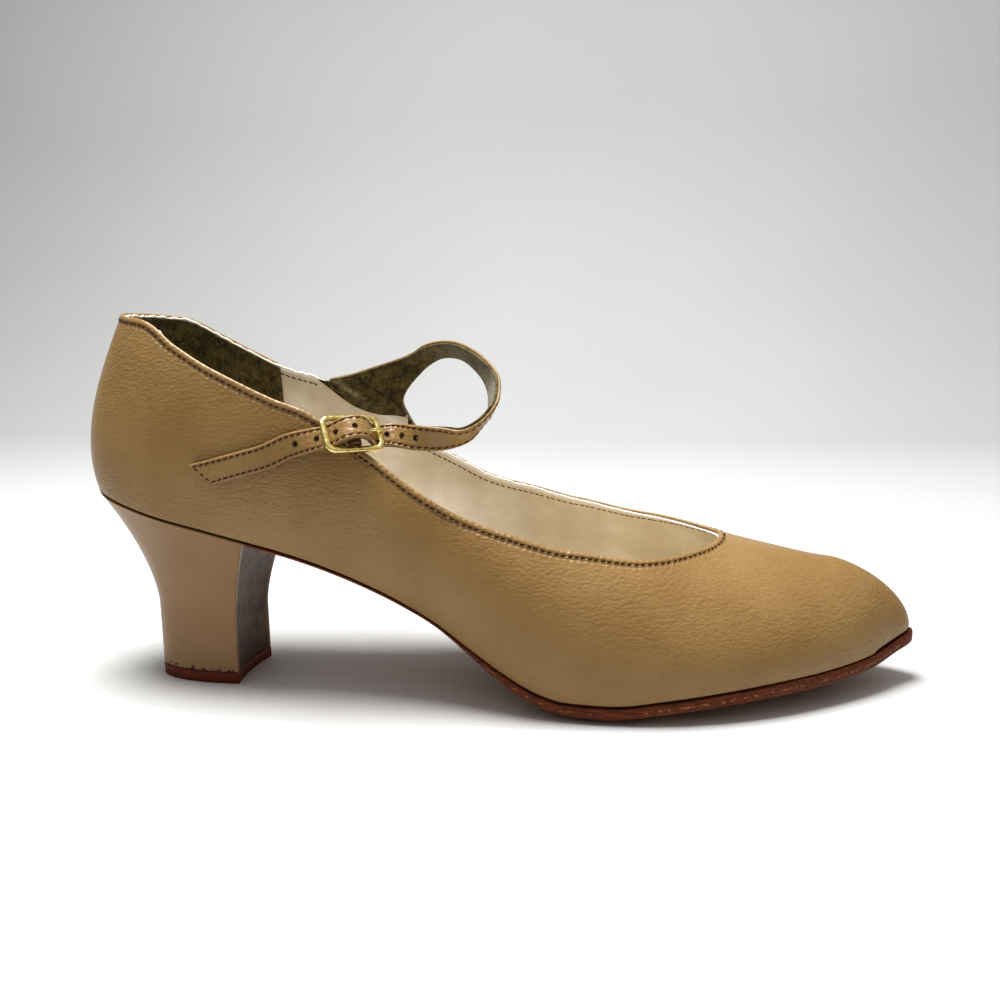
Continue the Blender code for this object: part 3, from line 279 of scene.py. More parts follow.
@dataclass(frozen=True)
class Last:
    """The form that the shoe is pulled over: its sizes and its skin."""

    length: float = 0.254
    ball_width: float = 0.074
    heel_rise: float = 0.0564
    toe_spring: float = 0.0106
    cone_height: float = 0.080
    vamp_height: float = 0.0381
    sole_edge: float = 0.0034
    sole_crown: float = 0.0017
    heel_fan: float = 0.100
    toe_fan: float = 0.900
    toe_ridge_slope: float = -0.20
    wall: float = 0.0016
    laid_gap: float = 0.0005
    outline_steps: int = 16

    def outline(self, side: Side, swell: Line | float = 0.0) -> Points:
        """Plan outline of one side.

        Args:
            side: The side of the shoe.
            swell: How far the line is moved outwards, one value or one for each point.

        Returns:
            Points from the back of the heel to the tip of the toe.
        """
        here, there = (
            OUTLINE[:, [0, 1 if each is Side.LATERAL else 2]] * (self.length, each.value * self.ball_width)
            for each in (side, side.other))
        line = np.concatenate([there[2:0:-1], here, there[-2:-4:-1]])
        line = smooth_line(line, self.outline_steps)
        first = 2 * self.outline_steps
        last = first + (len(here) - 1) * self.outline_steps
        tangent = unit(np.gradient(line, axis=0))[first:last + 1]
        normal = side.value * np.stack([-tangent[:, 1], tangent[:, 0]], axis=1)
        return line[first:last + 1] + np.reshape(swell, (-1, 1)) * normal

    @cached_property
    def lines(self) -> dict[Side, Points]:
        """Plan outline of both sides."""
        return {side: self.outline(side) for side in Side}

    @cached_property
    def shares(self) -> dict[Side, Line]:
        """Distance share along both outlines."""
        return {side: run_of(line) / run_of(line)[-1] for side, line in self.lines.items()}

    def station(self, side: Side, along: Line | float) -> Line:
        """Outline share whose point lies at a share of the length."""
        return np.interp(np.asarray(along) * self.length, self.lines[side][:, 0], self.shares[side])

    def feather(self, along: Line | float) -> Line:
        """Height of the line where upper and sole meet."""
        rise = self.heel_rise * column(FEATHER, 1, along)
        spring = self.toe_spring * column(FEATHER, 2, along)
        return GAP + self.sole_edge + self.sole_crown + rise + spring

    def ridge(self, along: Line) -> Points:
        """Top of the section at each share of the length."""
        cone, vamp, offset = (column(SECTIONS, k, along) for k in (1, 2, 3))
        height = self.feather(along) + (self.cone_height * cone + self.vamp_height * vamp)
        return np.stack([along * self.length, self.ball_width * offset, height], axis=-1)

    def point(self, side: Side, station: Line | float, arch: Line | float) -> Points:
        """Points of the skin.

        Args:
            side: The side of the shoe.
            station: Shares along the outline.
            arch: Shares up the section, from the feather line to the ridge.

        Returns:
            The points.
        """
        station, arch = np.broadcast_arrays(np.asarray(station, float), np.asarray(arch, float))
        x, y = at_runs(self.lines[side], self.shares[side], station.ravel()).T.reshape(2, *station.shape)
        along = x / self.length
        foot = np.stack([x, y, self.feather(along)], axis=-1)
        ridge = self.ridge(np.clip(along, self.heel_fan, self.toe_fan))
        inward = ridge - foot
        inward[..., 2] = 0.0
        inward = unit(inward)
        first = 4 if side is Side.LATERAL else 7
        swell, lift, crown = (column(SECTIONS, first + k, along) for k in range(3))
        low = foot - self.ball_width * swell[..., None] * inward
        low[..., 2] += lift * (ridge[..., 2] - foot[..., 2])
        high = ridge - self.ball_width * crown[..., None] * inward
        slope = np.where(along > self.toe_fan, self.toe_ridge_slope, 0.0)
        high[..., 2] += slope * (high[..., 0] - ridge[..., 0])
        t = arch[..., None]
        outer = (1 - t) ** 3 * foot + 3 * t * (1 - t) ** 2 * low
        return outer + 3 * t * t * (1 - t) * high + t ** 3 * ridge

    def normal(self, side: Side, station: Line | float, arch: Line | float) -> Points:
        """Outward unit normals of the skin at the same places as point."""
        step = 1e-4
        along = self.point(side, station + step, arch) - self.point(side, station - step, arch)
        up = self.point(side, station, arch + step) - self.point(side, station, arch - step)
        return unit(-side.value * np.cross(along, up))

    def topline(self, side: Side) -> tuple[Points, Points]:
        """Collar and throat line of one side.

        Args:
            side: The side of the shoe.

        Returns:
            Dense pairs of station and arch, and their points.
        """
        rows = TOPLINE[side]
        line = np.column_stack([self.station(side, rows[:, 0]), rows[:, 1]])
        before = (-line[1, 0], line[1, 1])
        after = (line[-2, 0], 2.0 - line[-2, 1])
        steps = self.outline_steps
        dense = smooth_line(np.vstack([before, line, after]), steps)[steps:-steps]
        return dense, self.point(side, dense[:, 0], dense[:, 1])

    def height(self, along: Line | float, share: Line | float) -> Line:
        """Height of a place given as a share of the cone above the feather line."""
        return self.feather(along) + self.cone_height * share

    def laid(self, side: Side, x: float, z: float, lift: float) -> tuple[Points, Points]:
        """Place on a quarter.

        Args:
            side: The side of the shoe.
            x: Distance from the back of the heel.
            z: Height.
            lift: Distance outside the skin.

        Returns:
            The point and the skin's normal there.
        """
        station = float(self.station(side, x / self.length))
        arches = np.linspace(0.0, 1.0, 201)
        arch = float(np.interp(z, self.point(side, station, arches)[:, 2], arches))
        normal = self.normal(side, station, arch)
        return self.point(side, station, arch) + lift * normal, normal

    def sewn(self, side: Side, along: float, share: float, lift: float) -> tuple[Points, Points]:
        """Place on a quarter as laid gives it, by shares of the length and of the cone."""
        return self.laid(side, along * self.length, float(self.height(along, share)), lift)

    def camber(self, along: Line, y: Line) -> Line:
        """0 in the flat middle of the tread, 1 at the feather line."""
        x = np.asarray(along) * self.length
        low, high = (np.interp(x, self.lines[side][:, 0], self.lines[side][:, 1]) for side in Side)
        half = np.maximum((high - low) / 2, self.sole_edge)
        share = np.clip(np.abs(y - (low + high) / 2) / half, 0.0, 1.0)
        return (np.clip(share - 0.5, 0.0, None) / 0.5) ** 2

    def dish(self, along: Line, y: Line) -> Line:
        """Depth of the hollow on top of the sole."""
        return self.sole_crown * column(SOLE, 3, along) * (1 - self.camber(along, y))


LAST = Last()


# ---------------------------------------------------------------- mesh work


def faces_of(rows: int, cols: int, round_rows: bool, round_cols: bool) -> list[tuple[int, ...]]:
    """Quads of a grid of points.

    Args:
        rows: Number of rows.
        cols: Points in a row.
        round_rows: The last row joins the first.
        round_cols: The last point of a row joins its first.

    Returns:
        The quads as index tuples.
    """
    starts = np.arange(rows - (not round_rows)), np.arange(cols - (not round_cols))
    i, j = np.meshgrid(*starts, indexing="ij")
    i2, j2 = (i + 1) % rows, (j + 1) % cols
    quads = np.stack([i * cols + j, i2 * cols + j, i2 * cols + j2, i * cols + j2], axis=-1)
    return [tuple(quad) for quad in quads.reshape(-1, 4).tolist()]


def link(name: str, data: bpy.types.Mesh) -> bpy.types.Object:
    """Put a mesh in the scene as an object."""
    piece = bpy.data.objects.new(name, data)
    bpy.context.scene.collection.objects.link(piece)
    return piece


def tidy_mesh(data: bpy.types.Mesh) -> None:
    """Merge double points and turn the faces outwards."""
    mesh = bmesh.new()
    mesh.from_mesh(data)
    bmesh.ops.remove_doubles(mesh, verts=mesh.verts, dist=2e-6)
    bmesh.ops.dissolve_degenerate(mesh, edges=mesh.edges, dist=1e-7)
    bmesh.ops.recalc_face_normals(mesh, faces=mesh.faces)
    if all(edge.is_manifold for edge in mesh.edges) and mesh.calc_volume(signed=True) < 0:
        bmesh.ops.reverse_faces(mesh, faces=mesh.faces)
    mesh.to_mesh(data)
    mesh.free()


def mesh_piece(
    name: str, points: Points, faces: Sequence[Sequence[int]], marks: dict[str, Line] | None = None,
    sharp: float | None = None,
) -> bpy.types.Object:
    """Make a piece from points and faces.

    Args:
        name: Name of the piece.
        points: Points on the last.
        faces: Index tuples.
        marks: Named values for each point, read by the finishes.
        sharp: Angle in degrees over which an edge stays crisp; all smooth where None.

    Returns:
        The piece.
    """
    data = bpy.data.meshes.new(name)
    data.from_pydata((np.reshape(points, (-1, 3)) + LAST_TO_FRAME).tolist(), [], faces)
    for mark, values in (marks or {}).items():
        layer = data.attributes.new(mark, "FLOAT", "POINT")
        layer.data.foreach_set("value", np.ravel(values).astype(np.float32))
    tidy_mesh(data)
    data.shade_smooth()
    if sharp is not None:
        data.set_sharp_from_angle(angle=math.radians(sharp))
    return link(name, data)


def swept(
    name: str, rings: Points, closed: bool = False, marks: dict[str, Line] | None = None,
    sharp: float | None = None,
) -> bpy.types.Object:
    """Make a body from rings of points.

    Args:
        name: Name of the piece.
        rings: Rings with equal counts, in order along the body.
        closed: The last ring joins the first; otherwise both ends are capped.
        marks: Named values for each point of the rings.
        sharp: Angle in degrees over which an edge stays crisp.

    Returns:
        The piece.
    """
    rows, cols = rings.shape[:2]
    faces = faces_of(rows, cols, closed, True)
    points = rings.reshape(-1, 3)
    marks = {mark: np.ravel(values) for mark, values in (marks or {}).items()}
    if not closed:
        hubs = np.array([rings[0].mean(axis=0), rings[-1].mean(axis=0)])
        points = np.concatenate([points, hubs])
        for mark, values in marks.items():
            marks[mark] = np.append(values, [values[:cols].mean(), values[-cols:].mean()])
        for hub, start in ((rows * cols, 0), (rows * cols + 1, (rows - 1) * cols)):
            faces += [(hub, start + k, start + (k + 1) % cols) for k in range(cols)]
    return mesh_piece(name, points, faces, marks, sharp)


def joined(name: str, parts: Sequence[tuple[Points, list[tuple[int, ...]]]]) -> bpy.types.Object:
    """Make one piece from many small closed forms."""
    points, faces, start = [], [], 0
    for form, quads in parts:
        points.append(form)
        faces += [tuple(start + k for k in quad) for quad in quads]
        start += len(form)
    return mesh_piece(name, np.concatenate(points), faces)


def baked(piece: bpy.types.Object) -> bpy.types.Object:
    """Apply the modifiers of a piece to its mesh."""
    bpy.context.view_layer.update()
    graph = bpy.context.evaluated_depsgraph_get()
    data = bpy.data.meshes.new_from_object(piece.evaluated_get(graph))
    piece.modifiers.clear()
    piece.data = data
    return piece


def modify(piece: bpy.types.Object, kind: str, **settings) -> bpy.types.Object:
    """Add a modifier with its settings to a piece."""
    modifier = piece.modifiers.new(kind.lower(), kind)
    for name, value in settings.items():
        setattr(modifier, name, value)
    return piece


def walled(piece: bpy.types.Object, thickness: float) -> bpy.types.Object:
    """Turn an open layer's faces away from the shoe's middle and thicken it inwards."""
    face = max(piece.data.polygons, key=lambda polygon: abs(polygon.center.y))
    if face.center.y * face.normal.y < 0:
        piece.data.flip_normals()
    return baked(modify(piece, "SOLIDIFY", thickness=thickness, offset=-1.0))


def rod(mesh: bmesh.types.BMesh, centre: Points, direction: Points, radius: float, depth: float,
        segments: int) -> None:
    """Add a rod to a mesh that is cut out of a piece later.

    Args:
        mesh: The mesh.
        centre: Middle of the rod on the last.
        direction: The way it points.
        radius: Its radius.
        depth: Its length.
        segments: Sides of its round.
    """
    turn = Vector(direction).to_track_quat("Z", "Y").to_matrix().to_4x4()
    bmesh.ops.create_cone(
        mesh, cap_ends=True, segments=segments, radius1=radius, radius2=radius, depth=depth,
        matrix=Matrix.Translation(Vector(centre + LAST_TO_FRAME)) @ turn)


@dataclass(frozen=True)
class Stitch:
    """One stitch: a round-ended grain of thread, by half its length, width and height."""

    length: float
    width: float
    height: float
    sides: int = 6

    @cached_property
    def grain(self) -> tuple[Points, list[tuple[int, ...]]]:
        """Points and faces of a grain of length 2 and width 2 along x."""
        bands = ((-1.0, 0.35), (-0.82, 0.8), (-0.4, 1.0), (0.4, 1.0), (0.82, 0.8), (1.0, 0.35))
        sides, turn = self.sides, circle(self.sides)
        rings = [np.column_stack([np.full(sides, x), r * np.cos(turn), r * np.sin(turn)]) for x, r in bands]
        faces = faces_of(len(bands), sides, False, True)
        faces += [tuple(range(sides)), tuple(range((len(bands) - 1) * sides, len(bands) * sides))]
        return np.concatenate(rings), faces

    def at(self, spot: Points, run: Points, side: Points,
           up: Points) -> tuple[Points, list[tuple[int, ...]]]:
        """The stitch at a spot, lying along run."""
        grain, faces = self.grain
        return (spot + grain[:, :1] * self.length * run + grain[:, 1:2] * self.width * side
                + grain[:, 2:] * self.height * up, faces)


# ---------------------------------------------------------------- finishes


def linear(code: str) -> tuple[float, float, float, float]:
    """Turn an sRGB hex colour to linear."""
    parts = [int(code[k:k + 2], 16) / 255 for k in (1, 3, 5)]
    return (*[c / 12.92 if c <= 0.04045 else ((c + 0.055) / 1.055) ** 2.4 for c in parts], 1.0)


def add(tree: bpy.types.NodeTree, kind: str, links: dict | None = None, **settings) -> bpy.types.Node:
    """Add a node with its settings and links.

    Args:
        tree: The node tree.
        kind: Blender's name of the node.
        links: Input names or numbers, each with a socket to link or a value to set.
        settings: Properties of the node.

    Returns:
        The node.
    """
    node = tree.nodes.new(kind)
    for name, value in settings.items():
        setattr(node, name, value)
    for name, value in (links or {}).items():
        if isinstance(value, bpy.types.NodeSocket):
            tree.links.new(value, node.inputs[name])
        else:
            node.inputs[name].default_value = value
    return node


@dataclass
class Recipe:
    """A material under way: its tree, its shader and the place that patterns are drawn in."""

    name: str
    roughness: float
    ior: float = 1.5
    metallic: float = 0.0
    coat: float = 0.0
    coat_roughness: float = 0.1
    sheen: float = 0.0
    material: bpy.types.Material = field(init=False)

    def __post_init__(self) -> None:
        """Start the material with its constant sockets."""
        self.material = bpy.data.materials.new(self.name)
        self.material.use_nodes = True
        self.tree = self.material.node_tree
        self.shader = self.tree.nodes["Principled BSDF"]
        for socket, value in (
            ("Roughness", self.roughness), ("IOR", self.ior), ("Metallic", self.metallic),
            ("Coat Weight", self.coat), ("Coat Roughness", self.coat_roughness),
            ("Sheen Weight", self.sheen),
        ):
            self.shader.inputs[socket].default_value = value
        self.place = add(self.tree, "ShaderNodeTexCoord").outputs["Object"]

    def stretched(self, stretch: tuple) -> bpy.types.NodeSocket:
        """Place that patterns are drawn in, with its axes scaled."""
        return add(self.tree, "ShaderNodeMapping", {"Vector": self.place, "Scale": stretch}).outputs[0]

    def noise(self, size_mm: float, detail: float = 2.0,
              stretch: tuple | None = None) -> bpy.types.NodeSocket:
        """Soft noise whose blotches are about size_mm across."""
        place = self.stretched(stretch) if stretch else self.place
        return add(self.tree, "ShaderNodeTexNoise", {
            "Vector": place, "Scale": 1 / (size_mm * MM), "Detail": detail,
        }).outputs["Fac"]

    def cells(self, size_mm: float, stretch: tuple) -> bpy.types.NodeSocket:
        """Distance inside cells about size_mm across."""
        return add(self.tree, "ShaderNodeTexVoronoi", {
            "Vector": self.stretched(stretch), "Scale": 1 / (size_mm * MM),
        }).outputs["Distance"]

    def ranged(self, value: bpy.types.NodeSocket, low: float, high: float, to_low: float = 0.0,
               to_high: float = 1.0) -> bpy.types.NodeSocket:
        """Value carried smoothly from one range to another."""
        return add(self.tree, "ShaderNodeMapRange", {
            "Value": value, "From Min": low, "From Max": high, "To Min": to_low, "To Max": to_high,
        }, interpolation_type="SMOOTHSTEP").outputs[0]

    def maths(self, operation: str, *values: bpy.types.NodeSocket | float) -> bpy.types.NodeSocket:
        """Result of one sum on values."""
        return add(self.tree, "ShaderNodeMath", dict(enumerate(values)), operation=operation).outputs[0]

    def mark(self, name: str) -> bpy.types.NodeSocket:
        """A named value that the mesh carries."""
        return add(self.tree, "ShaderNodeAttribute", attribute_name=name).outputs["Fac"]

    def band(self, value: bpy.types.NodeSocket, centre: float, half: float) -> bpy.types.NodeSocket:
        """1 at a centre, falling to 0 a half width away."""
        off = self.maths("ABSOLUTE", self.maths("SUBTRACT", value, centre))
        return self.ranged(off, 0.0, half, 1.0, 0.0)

    def blend(self, share: bpy.types.NodeSocket | float, first: str | bpy.types.NodeSocket,
              second: str | bpy.types.NodeSocket) -> bpy.types.NodeSocket:
        """Colour between two colours."""
        pair = [linear(colour) if isinstance(colour, str) else colour for colour in (first, second)]
        links = {0: share, 6: pair[0], 7: pair[1]}
        return add(self.tree, "ShaderNodeMix", links, data_type="RGBA").outputs[2]

    def mottled(self, size_mm: float, detail: float, first: str, second: str, low: float = 0.3,
                high: float = 0.7) -> bpy.types.NodeSocket:
        """Colour that wanders between two in blotches about size_mm across."""
        return self.blend(self.ranged(self.noise(size_mm, detail), low, high), first, second)

    def finish(self, colour: bpy.types.NodeSocket, heights: Sequence[tuple[bpy.types.NodeSocket, float]],
               roughness: bpy.types.NodeSocket | None = None) -> bpy.types.Material:
        """Close the material.

        Args:
            colour: Base colour.
            heights: Relief patterns, each with its height in millimetres.
            roughness: Roughness pattern, where there is one.

        Returns:
            The material.
        """
        self.tree.links.new(colour, self.shader.inputs["Base Color"])
        if roughness is not None:
            self.tree.links.new(roughness, self.shader.inputs["Roughness"])
        normal = None
        for height, depth in heights:
            settings = {"Height": height, "Distance": depth * MM, "Strength": 1.0}
            if normal is not None:
                settings["Normal"] = normal
            normal = add(self.tree, "ShaderNodeBump", settings).outputs[0]
        if normal is not None:
            self.tree.links.new(normal, self.shader.inputs["Normal"])
        return self.material


@dataclass(frozen=True)
class SmoothLeather:
    """Pigmented and plated calf leather: a thin even paint film over a fine pebbled grain.

    It gives a soft satin light with broad highlights, and a grain that shows only where the light grazes
    it; painted shade darkens the grain's creases and the stitch groove.
    """

    name: str = "plated tan leather"
    light: str = "#957749"
    dark: str = "#8a6b3d"
    # Colour of the painted shade in the grain's creases and in the stitch groove.
    crease_shade: str = "#6c4c28"
    grain_mm: float = 0.95
    pore_mm: float = 0.45
    roughness: float = 0.36
    stitch_line: float = 0.0
    pitch: float = 0.0019

    def material(self) -> bpy.types.Material:
        """Build the material."""
        recipe = Recipe(self.name, self.roughness, ior=1.46, coat=0.10, coat_roughness=0.35)
        grain = recipe.cells(self.grain_mm, (0.6, 0.8, 1.1))
        # Painted shade: the creases between the grain's pebbles are darkened.
        colour = recipe.blend(recipe.ranged(grain, 0.5, 0.95, 0.0, 0.14),
                              recipe.mottled(28.0, 3.0, self.light, self.dark), self.crease_shade)
        heights = [(grain, -0.13), (recipe.noise(self.pore_mm, 2.0), 0.05),
                   (recipe.noise(1.5, 3.0, (0.5, 0.8, 1.4)), 0.13), (recipe.noise(7.0, 3.0), 0.10)]
        if self.stitch_line:
            edge, run = recipe.mark("edge"), recipe.mark("run")
            groove = recipe.band(edge, self.stitch_line, 0.75 * MM)
            wave = recipe.maths("SINE", recipe.maths("MULTIPLY", run, 2 * math.pi / self.pitch))
            pucker = recipe.maths("MULTIPLY", wave, recipe.band(edge, self.stitch_line, 2.6 * MM))
            heights += [(groove, -0.16), (pucker, 0.045)]
            # Painted shade: the stitch groove is darkened.
            colour = recipe.blend(recipe.maths("MULTIPLY", groove, 0.45), colour, self.crease_shade)
        shine = recipe.noise(9.0, 4.0)
        rough = recipe.ranged(shine, 0.25, 0.75, self.roughness - 0.05, self.roughness + 0.06)
        return recipe.finish(colour, heights, rough)


@dataclass(frozen=True)
class Suede:
    """Split leather, buffed: an olive-brown nap, mottled where feet have pressed it.

    It takes the light flatly and shows short fibres lying in patches.
    """

    name: str = "olive suede lining"
    light: str = "#655a31"
    dark: str = "#372d14"
    worn: str = "#a09466"

    def material(self) -> bpy.types.Material:
        """Build the material."""
        recipe = Recipe(self.name, 0.95, ior=1.4, sheen=0.25)
        nap = recipe.noise(0.9, 5.0)
        patches = recipe.noise(2.6, 5.0)
        colour = recipe.blend(recipe.ranged(patches, 0.30, 0.72), self.dark, self.light)
        colour = recipe.blend(recipe.ranged(nap, 0.50, 0.8, 0.0, 0.6), colour, self.worn)
        return recipe.finish(colour, [(nap, 0.22), (recipe.noise(0.4, 2.0), 0.12), (patches, 0.18)])


@dataclass(frozen=True)
class LiningCloth:
    """Cotton drill bonded to a thin foam: warm grey-white, finely woven, with a raw cut edge.

    The threads, 0.45 mm apart, show as a fine tooth in grazing light, and the cut edge is whiter.
    """

    name: str = "cotton drill lining"
    light: str = "#f0e8da"
    dark: str = "#dcd0bc"
    cut: str = "#fffdf8"
    thread_mm: float = 0.8

    def material(self) -> bpy.types.Material:
        """Build the material, its threads drawn nearly twice as coarse as real to show at all."""
        recipe = Recipe(self.name, 0.92, ior=1.4, sheen=0.15)
        flecks = recipe.noise(1.6, 4.0)
        colour = recipe.blend(recipe.ranged(flecks, 0.5, 0.75, 0.0, 0.35),
                              recipe.mottled(14.0, 5.0, self.light, self.dark), self.dark)
        raw = recipe.ranged(recipe.mark("edge"), 0.7 * MM, 1.3 * MM, 1.0, 0.0)
        colour = recipe.blend(raw, colour, self.cut)
        threads = [add(recipe.tree, "ShaderNodeTexWave", {
            "Vector": recipe.place, "Scale": 1 / (self.thread_mm * MM) / 3.2, "Distortion": 1.2,
            "Detail": 1.0, "Detail Scale": 2.0,
        }, bands_direction=direction).outputs["Fac"] for direction in ("X", "Z")]
        weave = recipe.maths("MULTIPLY", *threads)
        wrinkle = recipe.noise(3.2, 4.0, (0.6, 0.8, 1.2))
        return recipe.finish(colour, [
            (weave, 0.02), (flecks, 0.12), (wrinkle, 0.22), (recipe.noise(9.0, 3.0), 0.3),
        ])


@dataclass(frozen=True)
class SoleLeather:
    """Vegetable-tanned bend, cut, stained red-brown at the edge and waxed.

    The cut edge shows lengthwise fibres under a dull wax; the lower corner is paler where the
    stain has rubbed off.
    """

    name: str = "stained sole leather"
    stain: str = "#733816"
    deep: str = "#4c220b"
    fibre: str = "#a9713f"

    def material(self) -> bpy.types.Material:
        """Build the material."""
        recipe = Recipe(self.name, 0.62, ior=1.35)
        streak = recipe.noise(0.55, 4.0, stretch=(0.10, 1.0, 1.0))
        colour = recipe.blend(recipe.ranged(streak, 0.35, 0.7), self.deep, self.stain)
        rub = recipe.maths("MULTIPLY", recipe.band(recipe.mark("corner"), 0.55, 0.40),
                           recipe.ranged(recipe.noise(0.8, 4.0, stretch=(0.5, 1.0, 1.0)), 0.50, 0.66))
        colour = recipe.blend(rub, colour, self.fibre)
        tread = recipe.ranged(recipe.mark("tread"), 0.0, 1.0)
        worn = recipe.mottled(9.0, 5.0, self.stain, self.fibre, 0.35)
        colour = recipe.blend(tread, colour, worn)
        return recipe.finish(colour, [(streak, 0.07), (recipe.noise(0.5, 3.0), 0.05)])


@dataclass(frozen=True)
class HeelLacquer:
    """Moulded heel under sprayed tan lacquer: smoother and glossier than the leather.

    The lacquer gives clear soft reflections; small chips above the top piece show the dark body. The breast
    carries painted shade, mottled dark brown, and is rougher so that it stays matt.
    """

    name: str = "sprayed heel lacquer"
    light: str = "#8e6d45"
    dark: str = "#86653c"
    chip: str = "#42200e"
    # Colours of the painted shade on the heel's breast.
    breast_shade_light: str = "#5f4528"
    breast_shade_dark: str = "#3a2412"
    lift_top: float = 0.0039

    def material(self) -> bpy.types.Material:
        """Build the material."""
        recipe = Recipe(self.name, 0.36, ior=1.42, coat=0.12, coat_roughness=0.2)
        colour = recipe.mottled(22.0, 3.0, self.light, self.dark)
        height = add(recipe.tree, "ShaderNodeSeparateXYZ", {0: recipe.place}).outputs[2]
        low = recipe.ranged(height, self.lift_top, self.lift_top + 3.2 * MM, 1.0, 0.0)
        speck = recipe.maths("ADD", recipe.noise(2.3, 4.0), recipe.maths("MULTIPLY", low, 0.17))
        chips = recipe.maths("MULTIPLY", recipe.ranged(speck, 0.70, 0.735), recipe.ranged(low, 0.02, 0.12))
        colour = recipe.blend(chips, colour, self.chip)
        # Painted shade: the breast is turned to a mottled dark brown, as the arch shades it.
        breast = recipe.mark("breast")
        painted_breast_shade = recipe.mottled(5.0, 5.0, self.breast_shade_light, self.breast_shade_dark, 0.35)
        colour = recipe.blend(breast, colour, painted_breast_shade)
        rough = recipe.ranged(breast, 0.0, 1.0, 0.38, 0.7)
        return recipe.finish(colour, [(chips, -0.05), (recipe.noise(4.0, 2.0), 0.035)], rough)


@dataclass(frozen=True)
class TopPiece:
    """Moulded rubber top piece, dark red-brown, ground flush with the heel."""

    name: str = "ground rubber top piece"
    light: str = "#7c300e"
    dark: str = "#4a1a07"

    def material(self) -> bpy.types.Material:
        """Build the material; the grinding leaves fine level lines."""
        recipe = Recipe(self.name, 0.6, ior=1.4)
        lines = recipe.noise(0.5, 3.0, stretch=(0.25, 0.25, 1.5))
        colour = recipe.blend(recipe.ranged(lines, 0.3, 0.75), self.dark, self.light)
        return recipe.finish(colour, [(lines, 0.05)])


@dataclass(frozen=True)
class SockCloth:
    """Thin sheepskin sock, pale and brushed by wear, in soft blotches."""

    name: str = "sheepskin sock"
    light: str = "#d6c8ae"
    dark: str = "#c4b495"

    def material(self) -> bpy.types.Material:
        """Build the material."""
        recipe = Recipe(self.name, 0.85, ior=1.42, sheen=0.1)
        colour = recipe.mottled(11.0, 5.0, self.light, self.dark)
        return recipe.finish(colour, [(recipe.noise(0.6, 3.0), 0.05), (recipe.noise(5.0, 3.0), 0.12)])


@dataclass(frozen=True)
class Gilt:
    """Die-cast zinc, polished and flashed with brass: pale gold with a thin bright lacquer.

    Its long reflections break at fine polishing lines.
    """

    name: str = "brass-flashed buckle metal"
    light: str = "#f6e6a2"
    dark: str = "#cfb055"

    def material(self) -> bpy.types.Material:
        """Build the material."""
        recipe = Recipe(self.name, 0.2, metallic=1.0)
        colour = recipe.mottled(1.4, 3.0, self.light, self.dark, 0.35, 0.75)
        rough = recipe.ranged(recipe.noise(0.8, 4.0), 0.3, 0.7, 0.13, 0.27)
        return recipe.finish(colour, [(recipe.noise(0.5, 2.0), 0.012)], rough)


@dataclass(frozen=True)
class Thread:
    """Bonded nylon thread, dark brown, pulled tight: a faint twist and a dull shine."""

    name: str = "bonded brown thread"
    light: str = "#4c2c14"
    dark: str = "#2a1408"

    def material(self) -> bpy.types.Material:
        """Build the material."""
        recipe = Recipe(self.name, 0.8, ior=1.2)
        twist = recipe.noise(0.35, 2.0)
        colour = recipe.blend(recipe.ranged(twist, 0.35, 0.65), self.dark, self.light)
        return recipe.finish(colour, [(twist, 0.04)])


@dataclass(frozen=True)
class PaintedFloor:
    """Matt white studio board."""

    name: str = "matt white studio board"
    light: str = "#cbcbca"
    dark: str = "#c8c8c7"

    def material(self) -> bpy.types.Material:
        """Build the material."""
        recipe = Recipe(self.name, 0.75)
        return recipe.finish(recipe.mottled(240.0, 2.0, self.light, self.dark), [])


def dress(piece: bpy.types.Object, material: bpy.types.Material, slot: str, *nodes: str) -> None:
    """Give a piece its finish and its place on the shoe.

    Args:
        piece: The piece.
        material: Its finish.
        slot: The record's slot that the finish belongs to; not used.
        nodes: CAD nodes that it stands for.
    """
    piece.data.materials.clear()
    piece.data.materials.append(material)
    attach(piece, "root")
    if nodes:
        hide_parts(*nodes)
    LOG.info("%s: %d faces", piece.name, len(piece.data.polygons))


# ---------------------------------------------------------------- upper


@dataclass
class Topline:
    """The closed line round the collar and the throat, with its frame at each point."""

    last: Last
    spacing: float = 0.00035

    def __post_init__(self) -> None:
        """Resample the line evenly, from the back round the inner side and home."""
        points, normals = [], []
        for side in (Side.MEDIAL, Side.LATERAL):
            line, places = self.last.topline(side)
            out = self.last.normal(side, line[:, 0], np.minimum(line[:, 1], 0.9999))
            order = slice(None, -1) if side is Side.MEDIAL else slice(None, 0, -1)
            points.append(places[order])
            normals.append(out[order])
        loop = np.concatenate(points + [points[0][:1]])
        out = np.concatenate(normals + [normals[0][:1]])
        run = run_of(loop)
        count = int(run[-1] / self.spacing)
        wanted = np.linspace(0.0, run[-1], count, endpoint=False)
        self.length = run[-1]
        self.run = wanted
        self.points = at_runs(loop, run, wanted)
        self.normals = unit(smooth_ring(at_runs(out, run, wanted), 6))
        self.tangents = unit(np.roll(self.points, -1, axis=0) - np.roll(self.points, 1, axis=0))
        self.downs = unit(np.cross(self.tangents, self.normals))
        if np.mean(self.downs[:, 2]) > 0:
            self.downs = -self.downs

    def offset(self, out: Line | float, down: Line | float) -> Points:
        """Line moved out of the skin and down from the edge."""
        out, down = np.reshape(out, (-1, 1)), np.reshape(down, (-1, 1))
        return self.points + out * self.normals + down * self.downs


def smooth_ring(values: Points, reach: int) -> Points:
    """Average a closed row of values over a few neighbours."""
    return sum(np.roll(values, k, axis=0) for k in range(-reach, reach + 1)) / (2 * reach + 1)


